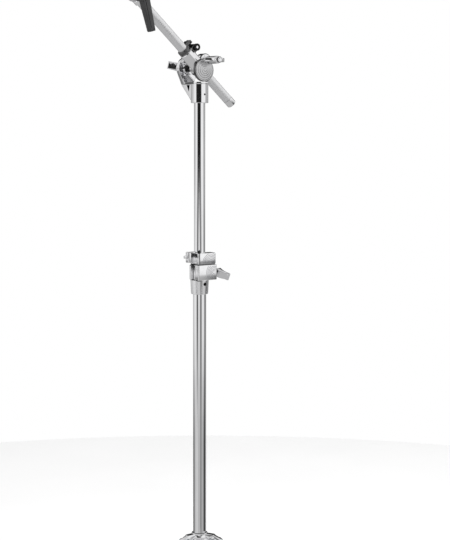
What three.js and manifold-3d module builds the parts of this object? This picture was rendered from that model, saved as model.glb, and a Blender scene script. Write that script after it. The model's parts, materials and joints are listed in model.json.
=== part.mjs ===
// Cymbal boom stand: folding tripod, telescoping post, and a tilting boom with a cymbal tilter.
// Millimetres, +Z up. The post stands on x = y = 0, z = 0 is the underside of its end plug,
// and the boom swings in the XZ plane, with its tip towards -X.

import * as THREE from 'three';
import { mergeVertices } from 'three/addons/utils/BufferGeometryUtils.js';
import Module from 'manifold-3d';

const wasm = await Module();
wasm.setup();

// ---------------------------------------------------------------- driving dimensions

const ROUND = 32;                 // sides of a large round piece
const SMALL_ROUND = 16;           // sides of a screw, pin or handle hub
const GAP = 0.3;                  // between pieces that touch

const FLOOR_Z = -12;
const LOWER_TUBE = { radius: 15, wall: 1.5, bottom: 4, top: 1019 };
const UPPER_TUBE = { radius: 12.7, wall: 1.4, bottom: 575, top: 1455 };
const BOOM_TUBE = { radius: 10.7, wall: 1.4, tail: -103, tip: 217 };

const LEG = { pivotRadius: 46, pivotZ: 414.8, length: 560, open: 44, width: 18, bar: 3, gap: 7 };
const LEG_AZIMUTHS = [180, 300, 60];
const LEG_PIN = 4;
const BRACE = { pivotZ: 55.1, length: 250, width: 15, bar: 5, pin: 3 };
const FOOT = { start: 528, end: 592, half: 15 };
const HUB = { bottom: 385, waist: 420, neck: 425, top: 433, radius: 24, neckRadius: 18.6, lug: 10.5 };
const HUB_SCREW = { azimuth: 240, z: 407, face: 31 };

const CLAMP = { bottom: 1021.8, top: 1056.6, left: -16.8, right: 34.7, front: -20, back: 3.7 };
const CLAMP_BARREL = 22.9;
const CLAMP_SLEEVE = { bottom: 989.6, radius: 19.5, topRadius: 21 };
const CLAMP_SCREW_Z = 1038.5;
const CLAMP_REAR = 12;
const BUSHING_TOP = 1047;
const SET_SCREW = { z: 1013.3, radius: 4 };
const LOCK = { bottom: 1058.6, top: 1083.8, right: 31.5, barrel: 21 };
const LOCK_EAR = { left: -32, y: 5, half: 7, bottom: 1062, top: 1086 };
const LOCK_SLIT = { x: -14, width: 1.8, end: -2 };

const HEAD = { tilt: 1499.6, socketBottom: 1422.5, socketRadius: 19.7, shelfLow: 36.5, shelfHigh: 31 };
const CHEEK = { near: 42, far: 53, radius: 27, foot: 13, boss: 15, bossNear: 38 };
const GUSSET = { low: 78, footHalf: 7 };
const POCKET = { nearY: 21, farY: 33, apexY: 27, low: 53 };
const AXLE = 5;

const BOOM_ANGLE = 41.3;          // degrees above level
const BARREL = { radius: 17, front: 12.2, back: -16 };
const CAP = { radius: 25.5, a: -2.2, b: -4.5, back: 12.5, rim: 20.5, front: 24 };
const SLEEVE = { radius: 15.5, length: 51 };
const BOOM_LOCK = {
  b: 23, lug: 15.5, lugFront: 2.5, shank: 4, end: -21,
  hub: 8.7, hubBack: 2.8, hubFront: 52, boss: 6.5, bossFront: 57.5,
};
const PINCH = { a: 43, b: 22.4, lug: 7.5, half: 11, shank: 3, head: 8 };
const BOOM_RING = { from: 53, to: 61, radius: 14.5, earB: 24, earY: -7, earHalf: 5.5 };
const BOOM_CAP = { end: -121.5, spigot: 8.9, spigotEnd: -90 };

const TILTER = { a: 231, disc: 14, gap: 0.6, width: 11, socketFrom: 210, socketTo: 221, socketRadius: 13.4 };
const TILTER_BOLT = 4;
const LEVER = { lean: 15.2, hub: 15.5, near: 14.2, far: 40.5, length: 82, side: 33.2 };
const LEVER_ROOT = { wide: 20.5, deep: 18.5 };
const LEVER_TIP = { wide: 14.6, deep: 14 };
const ROD = { radius: 4, from: 17, to: 102, side: 5.5 };
const STACK = { cup: 26, felt: 34.3, feltHeight: 10, felts: 19.5, sleeve: 6, nut: 56 };

// ---------------------------------------------------------------- finishes

const FINISHES = {
  chrome: { color: 0xd9dbdf, roughness: 0.08, metalness: 1 },
  satin: { color: 0xc4c5c7, roughness: 0.35, metalness: 1 },
  steel: { color: 0x8f9194, roughness: 0.3, metalness: 1 },
  black: { color: 0x1b1b1d, roughness: 0.5, metalness: 0.2 },
  grip: { color: 0x2c2c2d, roughness: 0.6, metalness: 0 },
  rubber: { color: 0x161616, roughness: 0.85, metalness: 0 },
  nylon: { color: 0x2a2a2a, roughness: 0.55, metalness: 0 },
  felt: { color: 0x8b8a86, roughness: 1, metalness: 0 },
};

// ---------------------------------------------------------------- solids and booleans

function signedVolume(positions, indices) {
  const a = new THREE.Vector3();
  const b = new THREE.Vector3();
  const c = new THREE.Vector3();
  let sum = 0;
  for (let i = 0; i < indices.length; i += 3) {
    a.fromArray(positions, indices[i] * 3);
    b.fromArray(positions, indices[i + 1] * 3);
    c.fromArray(positions, indices[i + 2] * 3);
    sum += a.dot(b.cross(c)) / 6;
  }
  return sum;
}

// A closed geometry as a solid, with its shared corners merged and its faces turned outwards.
function solidOf(geometry) {
  const bare = geometry.clone();
  bare.deleteAttribute('normal');
  bare.deleteAttribute('uv');
  const merged = mergeVertices(bare, 1e-4);
  const positions = merged.attributes.position.array;
  const source = merged.index.array;
  const indices = [];
  for (let i = 0; i < source.length; i += 3) {
    const [a, b, c] = [source[i], source[i + 1], source[i + 2]];
    if (a !== b && b !== c && a !== c) indices.push(a, b, c);
  }
  if (signedVolume(positions, indices) < 0) indices.reverse();
  const mesh = new wasm.Mesh({
    numProp: 3,
    vertProperties: new Float32Array(positions),
    triVerts: new Uint32Array(indices),
  });
  return new wasm.Manifold(mesh);
}

function geometryOf(solid) {
  const mesh = solid.getMesh();
  const geometry = new THREE.BufferGeometry();
  geometry.setAttribute('position', new THREE.BufferAttribute(mesh.vertProperties, 3));
  geometry.setIndex(new THREE.BufferAttribute(mesh.triVerts, 1));
  return geometry;
}

const join = (...parts) => geometryOf(parts.map(solidOf).reduce((sum, part) => sum.add(part)));
const cut = (base, ...tools) =>
  geometryOf(tools.map(solidOf).reduce((rest, tool) => rest.subtract(tool), solidOf(base)));
const common = (first, second) => geometryOf(solidOf(first).intersect(solidOf(second)));

// A solid of revolution about Z. The profile's [radius, z] points start and end on the axis, or close.
function turned(profile, sides = ROUND) {
  const points = profile.map(([radius, z]) => new THREE.Vector2(radius, z));
  return new THREE.LatheGeometry(points, sides).rotateX(Math.PI / 2);
}

const cylinder = (radius, from, to, sides = ROUND) =>
  turned([[0, from], [radius, from], [radius, to], [0, to]], sides);

function tube(radius, bore, from, to) {
  const outline = [[bore, from], [radius, from], [radius, to], [bore, to], [bore, from]];
  return turned(outline);
}

function box(x0, x1, y0, y1, z0, z1) {
  const block = new THREE.BoxGeometry(x1 - x0, y1 - y0, z1 - z0);
  return block.translate((x0 + x1) / 2, (y0 + y1) / 2, (z0 + z1) / 2);
}

// The radius of a bore whose flats stay clear of a round shaft.
const boreFor = (radius, clearance = GAP, sides = ROUND) => (radius + clearance) / Math.cos(Math.PI / sides);

const alongX = (geometry) => geometry.rotateY(Math.PI / 2);
const alongY = (geometry) => geometry.rotateX(-Math.PI / 2);

// A shape drawn in X and Z, of the given thickness, centred on Y = 0.
function upright(shape, thickness, curveSegments = 6) {
  const plate = new THREE.ExtrudeGeometry(shape, { depth: thickness, bevelEnabled: false, curveSegments });
  return plate.rotateX(Math.PI / 2).translate(0, thickness / 2, 0);
}

// A flat shape drawn in X and Y and raised from z0 to z1.
function raised(shape, z0, z1, curveSegments = 4) {
  const plate = new THREE.ExtrudeGeometry(shape, { depth: z1 - z0, bevelEnabled: false, curveSegments });
  return plate.translate(0, 0, z0);
}

// A bar outline from x0 to x1 with a round end at each.
function stadium(x0, x1, half) {
  const shape = new THREE.Shape();
  shape.absarc(x1, 0, half, -Math.PI / 2, Math.PI / 2, false);
  shape.absarc(x0, 0, half, Math.PI / 2, 3 * Math.PI / 2, false);
  shape.closePath();
  return shape;
}

function roundedRectangle(x0, x1, y0, y1, radius) {
  const shape = new THREE.Shape();
  shape.absarc(x1 - radius, y0 + radius, radius, -Math.PI / 2, 0, false);
  shape.absarc(x1 - radius, y1 - radius, radius, 0, Math.PI / 2, false);
  shape.absarc(x0 + radius, y1 - radius, radius, Math.PI / 2, Math.PI, false);
  shape.absarc(x0 + radius, y0 + radius, radius, Math.PI, 3 * Math.PI / 2, false);
  shape.closePath();
  return shape;
}

function piece(name, geometry, finish) {
  const shown = geometry.toNonIndexed();
  shown.computeVertexNormals();
  const mesh = new THREE.Mesh(shown, new THREE.MeshStandardMaterial(FINISHES[finish]));
  mesh.name = name;
  return mesh;
}

function group(...children) {
  const holder = new THREE.Group();
  holder.add(...children);
  return holder;
}

// ---------------------------------------------------------------- wing handles

// One blade of a wing handle, in the plane of the axis (Z) and the spread (X).
function blade(root, spread, from, to, sweep, thickness) {
  const shape = new THREE.Shape();
  shape.moveTo(0, from);
  shape.lineTo(root, from);
  shape.quadraticCurveTo(spread * 0.55, from, spread - thickness, to + sweep - thickness);
  shape.quadraticCurveTo(spread + 1, to + sweep - thickness * 0.4, spread - thickness * 0.5, to + sweep);
  shape.quadraticCurveTo(spread * 0.5, to + 1, root, to);
  shape.lineTo(0, to);
  shape.closePath();
  return shape;
}

// A turned hub on Z with two blades spread along X. The profile starts and ends on the axis.
function wingHandle(profile, { root, spread, from, to, sweep, thickness, height }) {
  const wing = upright(blade(root, spread, from, to, sweep, thickness), height, 5);
  const opposite = wing.clone().rotateZ(Math.PI);
  return join(turned(profile, SMALL_ROUND), wing, opposite);
}

// ---------------------------------------------------------------- post and tripod

function lowerTube() {
  const { radius, wall, bottom, top } = LOWER_TUBE;
  return tube(radius, radius - wall, bottom + GAP, top);
}

function endPlug() {
  const inside = LOWER_TUBE.radius - LOWER_TUBE.wall - GAP;
  const profile = [
    [0, 0], [14, 0], [15.5, 1.5], [15.5, LOWER_TUBE.bottom], [inside, LOWER_TUBE.bottom],
    [inside - 0.6, 24], [0, 24],
  ];
  return turned(profile);
}

function legHub() {
  const { bottom, waist, neck, top, radius, neckRadius, lug } = HUB;
  const bore = boreFor(LOWER_TUBE.radius);
  const body = turned([
    [0, bottom], [radius - 2, bottom], [radius, bottom + 2], [radius, waist],
    [neckRadius, neck], [neckRadius, top - 1], [neckRadius - 1, top], [0, top],
  ]);
  const lugs = LEG_AZIMUTHS.map((azimuth) => turnedTo(azimuth,
    upright(stadium(0, LEG.pivotRadius, lug), 2 * (LEG.gap - GAP)).translate(0, 0, LEG.pivotZ)));
  const holes = LEG_AZIMUTHS.map((azimuth) => turnedTo(azimuth,
    alongY(cylinder(boreFor(LEG_PIN, GAP, SMALL_ROUND), -15, 15, SMALL_ROUND))
      .translate(LEG.pivotRadius, 0, LEG.pivotZ)));
  const boss = turnedTo(HUB_SCREW.azimuth,
    alongX(cylinder(10, 0, HUB_SCREW.face - GAP, SMALL_ROUND)).translate(0, 0, HUB_SCREW.z));
  const screwHole = turnedTo(HUB_SCREW.azimuth,
    alongX(cylinder(4.5, 10, 40, SMALL_ROUND)).translate(0, 0, HUB_SCREW.z));
  return cut(join(body, boss, ...lugs), cylinder(bore, bottom - 5, top + 5), screwHole, ...holes);
}

function turnedTo(azimuth, geometry) {
  return geometry.rotateZ(THREE.MathUtils.degToRad(azimuth));
}

function hubScrew() {
  const { face, z, azimuth } = HUB_SCREW;
  const profile = [
    [0, 16], [4, 16], [4, face], [8, face], [8, face + 6], [7, face + 8], [6.5, face + 24], [0, face + 25],
  ];
  const wings = { root: 5, spread: 27, from: face + 8, to: face + 20, sweep: 10, thickness: 6, height: 9 };
  return turnedTo(azimuth, alongX(wingHandle(profile, wings)).translate(0, 0, z));
}

function braceHub() {
  const z = BRACE.pivotZ;
  const body = cylinder(20, z - 15, z + 15);
  const lugs = LEG_AZIMUTHS.map((azimuth) => turnedTo(azimuth,
    upright(stadium(0, LEG.pivotRadius, 8), 15).translate(0, 0, z)));
  const slots = LEG_AZIMUTHS.map((azimuth) => turnedTo(azimuth,
    box(27, LEG.pivotRadius + 12, -BRACE.bar / 2 - GAP, BRACE.bar / 2 + GAP, z - 20, z + 20)));
  const holes = LEG_AZIMUTHS.map((azimuth) => turnedTo(azimuth,
    alongY(cylinder(boreFor(BRACE.pin, GAP, SMALL_ROUND), -15, 15, SMALL_ROUND))
      .translate(LEG.pivotRadius, 0, z)));
  const bore = cylinder(boreFor(LOWER_TUBE.radius), z - 20, z + 20);
  const screwHole = alongX(cylinder(2.8, 10, 30, SMALL_ROUND)).translate(0, 0, z);
  return cut(join(body, ...lugs), bore, screwHole, ...slots, ...holes);
}

function braceHubScrew() {
  const profile = [[0, 15.4], [2.5, 15.4], [2.5, 20.3], [5, 20.3], [4, 23], [0, 23.6]];
  return alongX(turned(profile, SMALL_ROUND)).translate(0, 0, BRACE.pivotZ);
}

// A leg lies along +X from its hub pivot: two flat bars, their pins, and the block that holds the foot.
function leg() {
  const { length, width, bar: thickness, gap } = LEG;
  const outer = gap + thickness;
  const bar = upright(stadium(0, length - 15, width / 2), thickness);
  const bars = [bar.clone().translate(0, gap + thickness / 2, 0), bar.translate(0, -gap - thickness / 2, 0)];
  const hubPin = alongY(cylinder(LEG_PIN, -outer, outer, SMALL_ROUND));
  const heads = [0, BRACE.length].flatMap((x) => [-1, 1].map((side) => {
    const head = turned([[0, outer - 1], [6.5, outer - 1], [6.5, outer + 1], [4.5, outer + 2.4], [0, outer + 2.4]],
      SMALL_ROUND);
    return alongY(side < 0 ? head.rotateX(Math.PI) : head).translate(x, 0, 0);
  }));
  const block = box(length - 30, length + 5, -gap - 0.5, gap + 0.5, -7, 7);
  return join(...bars, hubPin, ...heads, block);
}

// A brace lies along +X from its hub pivot and ends between the leg's bars.
function brace() {
  const bar = upright(stadium(0, BRACE.length, BRACE.width / 2), BRACE.bar);
  const pin = alongY(cylinder(BRACE.pin, -9, 9, SMALL_ROUND));
  const boss = alongY(cylinder(6, -LEG.gap + GAP, LEG.gap - GAP, SMALL_ROUND)).translate(BRACE.length, 0, 0);
  return join(bar, pin, boss);
}

// A rubber foot, in the frame of its leg's plane: X outwards, Z up, cut flat where it stands.
function foot() {
  const { start, end, half } = FOOT;
  const shoe = upright(roundedRectangle(start, end, -half, half, 6), 2 * half);
  const barSeat = box(start - 5, LEG.length - 6 + GAP, -LEG.gap - LEG.bar - GAP, LEG.gap + LEG.bar + GAP, -9.3, 9.3);
  const blockSeat = box(start, LEG.length + 5 + GAP, -LEG.gap - 0.8, LEG.gap + 0.8, -7.3, 7.3);
  const hollow = cut(shoe, barSeat, blockSeat);
  hollow.rotateY(Math.PI / 2 - THREE.MathUtils.degToRad(LEG.open)).translate(LEG.pivotRadius, 0, LEG.pivotZ);
  return cut(hollow, box(300, 600, -60, 60, FLOOR_Z - 100, FLOOR_Z));
}

function tripodLeg(number, azimuth) {
  const slope = Math.PI / 2 - THREE.MathUtils.degToRad(LEG.open);
  const legMesh = piece(`leg_${number}`, leg(), 'chrome');
  legMesh.position.set(LEG.pivotRadius, 0, LEG.pivotZ);
  legMesh.rotation.y = slope;
  const braceMesh = piece(`brace_${number}`, brace(), 'chrome');
  braceMesh.position.set(LEG.pivotRadius, 0, BRACE.pivotZ);
  braceMesh.rotation.y = -slope;
  const holder = group(legMesh, braceMesh, piece(`foot_${number}`, foot(), 'rubber'));
  holder.rotation.z = THREE.MathUtils.degToRad(azimuth);
  return holder;
}

// ---------------------------------------------------------------- height clamp and memory lock

function clampBody() {
  const { bottom, top, left, right, front, back } = CLAMP;
  const block = raised(roundedRectangle(left, right, front, back, 2.5), bottom, top);
  const rear = raised(roundedRectangle(0, right, front, CLAMP_REAR, 2.5), bottom, top);
  const barrel = cut(cylinder(CLAMP_BARREL, bottom, top), box(-40, 40, -40, 0, bottom - 1, top + 1));
  const { bottom: low, radius, topRadius } = CLAMP_SLEEVE;
  const sleeve = turned([[0, low], [radius - 1, low], [radius, low + 1], [topRadius, bottom],
    [topRadius - 4, bottom + 1], [0, bottom + 1]]);
  const tubeBore = cylinder(boreFor(LOWER_TUBE.radius), low - 5, BUSHING_TOP + GAP);
  const postBore = cylinder(boreFor(UPPER_TUBE.radius), low, top + 5);
  const screwHole = alongX(cylinder(5.4, 0, right + 5, SMALL_ROUND)).translate(0, 0, CLAMP_SCREW_Z);
  const setScrewHole = alongY(cylinder(SET_SCREW.radius, -30, 0, SMALL_ROUND)).translate(0, 0, SET_SCREW.z);
  return cut(join(block, rear, barrel, sleeve), tubeBore, postBore, screwHole, setScrewHole);
}

function clampBushing() {
  const ring = tube(LOWER_TUBE.radius, boreFor(UPPER_TUBE.radius), LOWER_TUBE.top + GAP, BUSHING_TOP);
  return cut(ring, alongX(cylinder(5.4, 0, 30, SMALL_ROUND)).translate(0, 0, CLAMP_SCREW_Z));
}

const clampShoe = () => alongX(cylinder(5, 13.4, 17, SMALL_ROUND)).translate(0, 0, CLAMP_SCREW_Z);
const setScrew = () => alongY(cylinder(SET_SCREW.radius - GAP, -18.6, -15.5, SMALL_ROUND))
  .translate(0, 0, SET_SCREW.z);

function clampScrew() {
  const face = CLAMP.right + GAP;
  const profile = [
    [0, 17.3], [5, 17.3], [5, face], [8.7, face], [8.7, face + 7], [7.6, face + 9], [7.2, face + 22], [0, face + 23],
  ];
  const wings = { root: 6, spread: 30, from: face + 9, to: face + 22, sweep: 11, thickness: 8, height: 18 };
  const handle = wingHandle(profile, wings).rotateZ(THREE.MathUtils.degToRad(118));
  return alongX(handle).translate(0, 0, CLAMP_SCREW_Z);
}

function memoryLock() {
  const { bottom, top, right, barrel } = LOCK;
  const { left, front, back } = CLAMP;
  const block = raised(roundedRectangle(left, right, front, back, 2.5), bottom, top);
  const ring = cut(cylinder(barrel, bottom, top), box(-40, 40, -40, 0, bottom - 1, top + 1));
  const ear = raised(roundedRectangle(LOCK_EAR.left, 0, LOCK_EAR.y - LOCK_EAR.half, LOCK_EAR.y + LOCK_EAR.half, 4),
    LOCK_EAR.bottom, LOCK_EAR.top);
  const bore = cylinder(boreFor(UPPER_TUBE.radius), bottom - 5, top + 5);
  const { x, width, end } = LOCK_SLIT;
  const slit = box(x - width / 2, x + width / 2, front - 5, end, bottom - 5, top + 5);
  const opening = box(x, x + 6, end - 4, end, bottom - 5, top + 5);
  const pinHole = cylinder(2.3, top - 18, top + 5, SMALL_ROUND).translate(x, front + 3.4, 0);
  const screwHole = alongX(cylinder(3.4, -40, 0, SMALL_ROUND)).translate(0, LOCK_EAR.y, lockScrewZ());
  return cut(join(block, ring, ear), bore, slit, opening, pinHole, screwHole);
}

const lockScrewZ = () => (LOCK_EAR.bottom + LOCK_EAR.top) / 2 + 1;

function lockPin() {
  const { top } = LOCK;
  const profile = [[0, top - 17], [2, top - 17], [2, top + GAP], [3.6, top + GAP], [3.6, top + 5], [0, top + 6.2]];
  return turned(profile, SMALL_ROUND).translate(LOCK_SLIT.x, CLAMP.front + 3.4, 0);
}

// A key screw along X, its square head outwards at the low end.
function keyScrew(shank, from, to, collar) {
  const head = box(-2.8, 2.8, -2.8, 2.8, from - 7, from);
  const neck = cylinder(collar, from - 2.2, from, SMALL_ROUND);
  return join(cylinder(shank, from - 1, to, SMALL_ROUND), neck, head);
}

function lockScrew() {
  return alongX(keyScrew(3, LOCK_EAR.left - GAP, -13.8, 4.5)).translate(0, LOCK_EAR.y, lockScrewZ());
}

// ---------------------------------------------------------------- post head

function upperTube() {
  const { radius, wall, bottom, top } = UPPER_TUBE;
  return tube(radius, radius - wall, bottom, top);
}

// The cheek: a disc round the tilt axis whose sides run down to a narrower foot on the shelf.
function cheekOutline() {
  const { radius, foot: half } = CHEEK;
  const meet = THREE.MathUtils.degToRad(20);
  const shape = new THREE.Shape();
  shape.moveTo(half, -HEAD.shelfLow);
  shape.lineTo(radius * Math.cos(meet), -radius * Math.sin(meet));
  shape.absarc(0, 0, radius, -meet, Math.PI + meet, false);
  shape.lineTo(-half, -HEAD.shelfLow);
  shape.closePath();
  return shape;
}

// The web under the shelf, as the common part of its side outline and its tapering front outline.
function gusset() {
  const { socketRadius, shelfLow } = HEAD;
  const side = new THREE.Shape();
  side.moveTo(8, -GUSSET.low);
  side.lineTo(socketRadius - 1, -GUSSET.low);
  side.lineTo(CHEEK.far, -shelfLow - 2);
  side.lineTo(CHEEK.far, -HEAD.shelfHigh - 2);
  side.lineTo(8, -HEAD.shelfHigh - 2);
  side.closePath();
  const front = new THREE.Shape();
  front.moveTo(-GUSSET.footHalf, -GUSSET.low);
  front.lineTo(GUSSET.footHalf, -GUSSET.low);
  front.lineTo(CHEEK.foot, -HEAD.shelfHigh - 2);
  front.lineTo(-CHEEK.foot, -HEAD.shelfHigh - 2);
  front.closePath();
  const sideways = upright(side, 60).rotateZ(Math.PI / 2);
  const forwards = upright(front, 160);
  return common(sideways, forwards);
}

function postHead() {
  const { socketBottom, socketRadius, shelfLow, shelfHigh, tilt } = HEAD;
  const { near, far, foot: half } = CHEEK;
  const socket = turned([
    [0, socketBottom], [socketRadius - 0.8, socketBottom], [socketRadius, socketBottom + 0.8],
    [socketRadius, tilt - shelfLow + 1], [0, tilt - shelfLow + 1],
  ]);
  const shelfDisc = cylinder(socketRadius, tilt - shelfLow, tilt - shelfHigh);
  const shelfOutline = new THREE.Shape();
  shelfOutline.moveTo(-socketRadius, 0);
  shelfOutline.lineTo(socketRadius, 0);
  shelfOutline.lineTo(half, far);
  shelfOutline.lineTo(-half, far);
  shelfOutline.closePath();
  const shelf = raised(shelfOutline, tilt - shelfLow, tilt - shelfHigh);
  const cheek = upright(cheekOutline(), far - near).translate(0, (near + far) / 2, tilt);
  const boss = alongY(cylinder(CHEEK.boss, CHEEK.bossNear, near + 1)).translate(0, 0, tilt);
  const web = gusset().translate(0, 0, tilt);
  const notch = new THREE.Shape();
  notch.moveTo(POCKET.apexY, -POCKET.low);
  notch.lineTo(POCKET.farY, -shelfLow - 1);
  notch.lineTo(POCKET.nearY, -shelfLow - 1);
  notch.closePath();
  const pocket = upright(notch, 26).rotateZ(Math.PI / 2).translate(-10, 0, tilt);
  const bore = cylinder(boreFor(UPPER_TUBE.radius), socketBottom - 5, UPPER_TUBE.top + GAP);
  const axleHole = alongY(cylinder(boreFor(AXLE, GAP, SMALL_ROUND), 30, 70, SMALL_ROUND)).translate(0, 0, tilt);
  const pinHole = alongY(cylinder(2.3, -30, 0, SMALL_ROUND)).translate(0, 0, socketBottom + 19);
  const tailSlope = THREE.MathUtils.degToRad(BOOM_ANGLE);
  const tailRelief = alongX(cylinder(BOOM_TUBE.radius + 1, 0, 100)).rotateY(tailSlope).translate(0, 0, tilt);
  return cut(join(socket, shelfDisc, shelf, cheek, boss, web), pocket, bore, axleHole, pinHole, tailRelief);
}

const headPin = () => alongY(cylinder(2, -18.7, -13.2, SMALL_ROUND)).translate(0, 0, HEAD.socketBottom + 19);

function tiltWingNut() {
  const start = CHEEK.far + GAP;
  const bore = boreFor(AXLE, GAP, SMALL_ROUND);
  const profile = [
    [0, start], [9, start], [9, start + 3], [7.5, start + 5], [7.5, start + 18], [0, start + 20],
  ];
  const wings = { root: 5, spread: 37, from: start + 5, to: start + 17, sweep: 9, thickness: 8, height: 12 };
  const handle = wingHandle(profile, wings);
  const drilled = cut(handle, cylinder(bore, start - 5, start + 14, SMALL_ROUND));
  return alongY(drilled.rotateZ(THREE.MathUtils.degToRad(15))).translate(0, 0, HEAD.tilt);
}

// ---------------------------------------------------------------- boom clamp
// Modelled in the boom's own frame: X up the boom from the tilt axis, Y towards the viewer's side
// (row -Y), Z square to the boom.

// A cylinder along Y through the boom frame's point (a, b).
const across = (radius, from, to, a, b, sides = SMALL_ROUND) =>
  alongY(cylinder(radius, from, to, sides)).translate(a, 0, b);

function boomClamp() {
  const { radius, front, back } = BARREL;
  const barrel = alongY(cylinder(radius, back, front));
  const lockLug = across(BOOM_LOCK.lug, back, BOOM_LOCK.lugFront, 0, BOOM_LOCK.b, 24);
  const sleeve = alongX(cylinder(SLEEVE.radius, 0, SLEEVE.length));
  const web = box(PINCH.a - PINCH.lug, PINCH.a + PINCH.lug, -PINCH.half, PINCH.half, 0, PINCH.b);
  const pinchLug = across(PINCH.lug, -PINCH.half, PINCH.half, PINCH.a, PINCH.b);
  const bore = alongX(cylinder(boreFor(BOOM_TUBE.radius), -60, 80));
  const split = box(-40, 80, -1, 1, 0, 60);
  const lockHole = across(BOOM_LOCK.shank + GAP, -40, 40, 0, BOOM_LOCK.b);
  const pinchHole = across(PINCH.shank + GAP, -40, 40, PINCH.a, PINCH.b);
  const capRoom = across(CAP.radius + GAP, front, 40, CAP.a, CAP.b, 40);
  const hubRoom = across(BOOM_LOCK.hub + GAP, BOOM_LOCK.lugFront, 60, 0, BOOM_LOCK.b, 24);
  return cut(join(barrel, lockLug, sleeve, web, pinchLug), bore, split, lockHole, pinchHole, capRoom, hubRoom);
}

// The front cap, a stepped dome with a notch for the boom lock screw.
function boomClampCap() {
  const { radius, back, rim, front } = CAP;
  const step = (front - rim) / 3;
  const profile = [
    [0, back], [radius - 1, back], [radius, back + 1], [radius, rim - 1], [radius - 2, rim],
    [radius - 7, rim + 0.8], [radius - 8, rim + step], [radius - 14, rim + step + 0.8],
    [radius - 15, rim + 2 * step], [radius - 21, rim + 2 * step + 0.6], [radius - 22, front], [0, front],
  ];
  const dome = alongY(turned(profile, 40)).translate(CAP.a, 0, CAP.b);
  return cut(dome, across(BOOM_LOCK.hub + 1, 0, 60, 0, BOOM_LOCK.b, 24));
}

function tiltAxle() {
  const back = -BARREL.back + GAP;
  const profile = [
    [0, back], [10, back], [10, back + 3], [AXLE, back + 3], [AXLE, CHEEK.far + 13], [0, CHEEK.far + 13],
  ];
  return alongY(turned(profile, SMALL_ROUND)).rotateX(Math.PI);
}

function tiltSpring() {
  const from = -BARREL.back + 3 + 2 * GAP;
  const to = CHEEK.bossNear - GAP;
  const bore = boreFor(AXLE, GAP, SMALL_ROUND);
  const ring = turned([[bore, from], [7.6, from], [7.6, to], [bore, to], [bore, from]], SMALL_ROUND);
  return alongY(ring).rotateX(Math.PI);
}

function boomLockScrew() {
  const { shank, end, hub, hubBack, hubFront, boss, bossFront } = BOOM_LOCK;
  const profile = [
    [0, end], [shank, end], [shank, hubBack], [hub, hubBack], [hub, hubFront - 8], [boss + 1, hubFront - 2],
    [boss, hubFront], [boss, bossFront - 1], [boss - 1, bossFront], [0, bossFront],
  ];
  const wings = {
    root: 5, spread: 29, from: hubFront - 18, to: hubFront - 4, sweep: -10, thickness: 7, height: 9,
  };
  const handle = wingHandle(profile, wings).rotateZ(THREE.MathUtils.degToRad(BOOM_ANGLE));
  return alongY(handle).translate(0, 0, BOOM_LOCK.b);
}

function boomLockNut() {
  const from = BARREL.back - GAP - 5;
  const nut = turned([[0, from], [7, from], [7.6, from + 1], [7.6, from + 5], [0, from + 5]], 6);
  const drilled = cut(nut, cylinder(boreFor(BOOM_LOCK.shank, GAP, SMALL_ROUND), -40, 0, SMALL_ROUND));
  return alongY(drilled).translate(0, 0, BOOM_LOCK.b);
}

// A round-headed key screw along Y with a sunk socket.
function socketScrew(shank, head, from, seat) {
  const profile = [
    [0, from], [shank, from], [shank, seat], [head, seat], [head, seat + 4], [head - 1, seat + 5],
    [head - 3, seat + 5], [head - 3.4, seat + 2.4], [0, seat + 2.4],
  ];
  return alongY(turned(profile, SMALL_ROUND));
}

const boomPinchScrew = () => socketScrew(PINCH.shank, PINCH.head, -PINCH.half, PINCH.half + GAP)
  .translate(PINCH.a, 0, PINCH.b);

function boomRing() {
  const { from, to, radius, earB, earY, earHalf } = BOOM_RING;
  const ring = alongX(cylinder(radius, from, to));
  const ear = box(from, to, earY - earHalf, earY + earHalf + 4, 0, earB + 5);
  const bore = alongX(cylinder(boreFor(BOOM_TUBE.radius), from - 5, to + 5));
  const split = box(from - 5, to + 5, earY - 1, earY + 1, 0, 60);
  const hole = across(2.4, -40, 40, (from + to) / 2, earB);
  return cut(join(ring, ear), bore, split, hole);
}

function boomRingScrew() {
  const { from, to, earB, earY, earHalf } = BOOM_RING;
  const seat = earY - earHalf - GAP;
  const screw = keyScrew(2, seat, earY + earHalf + 4, 3.6);
  return alongY(screw).translate((from + to) / 2, 0, earB);
}

// ---------------------------------------------------------------- boom and tilter

const boomTube = () => alongX(tube(BOOM_TUBE.radius, BOOM_TUBE.radius - BOOM_TUBE.wall, BOOM_TUBE.tail,
  BOOM_TUBE.tip));

function boomEndCap() {
  const { end, spigot, spigotEnd } = BOOM_CAP;
  const { radius, tail } = BOOM_TUBE;
  const profile = [
    [0, end], [radius - 1.5, end], [radius, end + 1.5], [radius, tail - GAP], [spigot, tail - GAP],
    [spigot, spigotEnd], [0, spigotEnd],
  ];
  return alongX(turned(profile));
}

function tilterSocket() {
  const { a, disc, gap, width, socketFrom, socketTo, socketRadius } = TILTER;
  const cup = alongX(cylinder(socketRadius, socketFrom, socketTo));
  const ear = across(disc, -width - gap / 2, -gap / 2, a, 0, 28);
  const neck = box(socketTo - 4, a, -width - gap / 2, -gap / 2, -10, 10);
  const bore = alongX(cylinder(boreFor(BOOM_TUBE.radius), socketFrom - 5, BOOM_TUBE.tip + GAP));
  const swing = across(disc + 0.6, -gap / 2, 20, a, 0, 28);
  return cut(join(cup, ear, neck), bore, swing, across(boreFor(TILTER_BOLT, GAP, SMALL_ROUND), -30, 30, a, 0));
}

function tilterBolt() {
  const { a, gap, width } = TILTER;
  const start = -width - gap / 2 - GAP;
  const profile = [
    [0, start - 4.5], [4.5, start - 4.5], [6.5, start - 2], [6.5, start], [TILTER_BOLT, start],
    [TILTER_BOLT, LEVER.near + 9], [0, LEVER.near + 9],
  ];
  return alongY(turned(profile, SMALL_ROUND)).translate(a, 0, 0);
}

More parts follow.
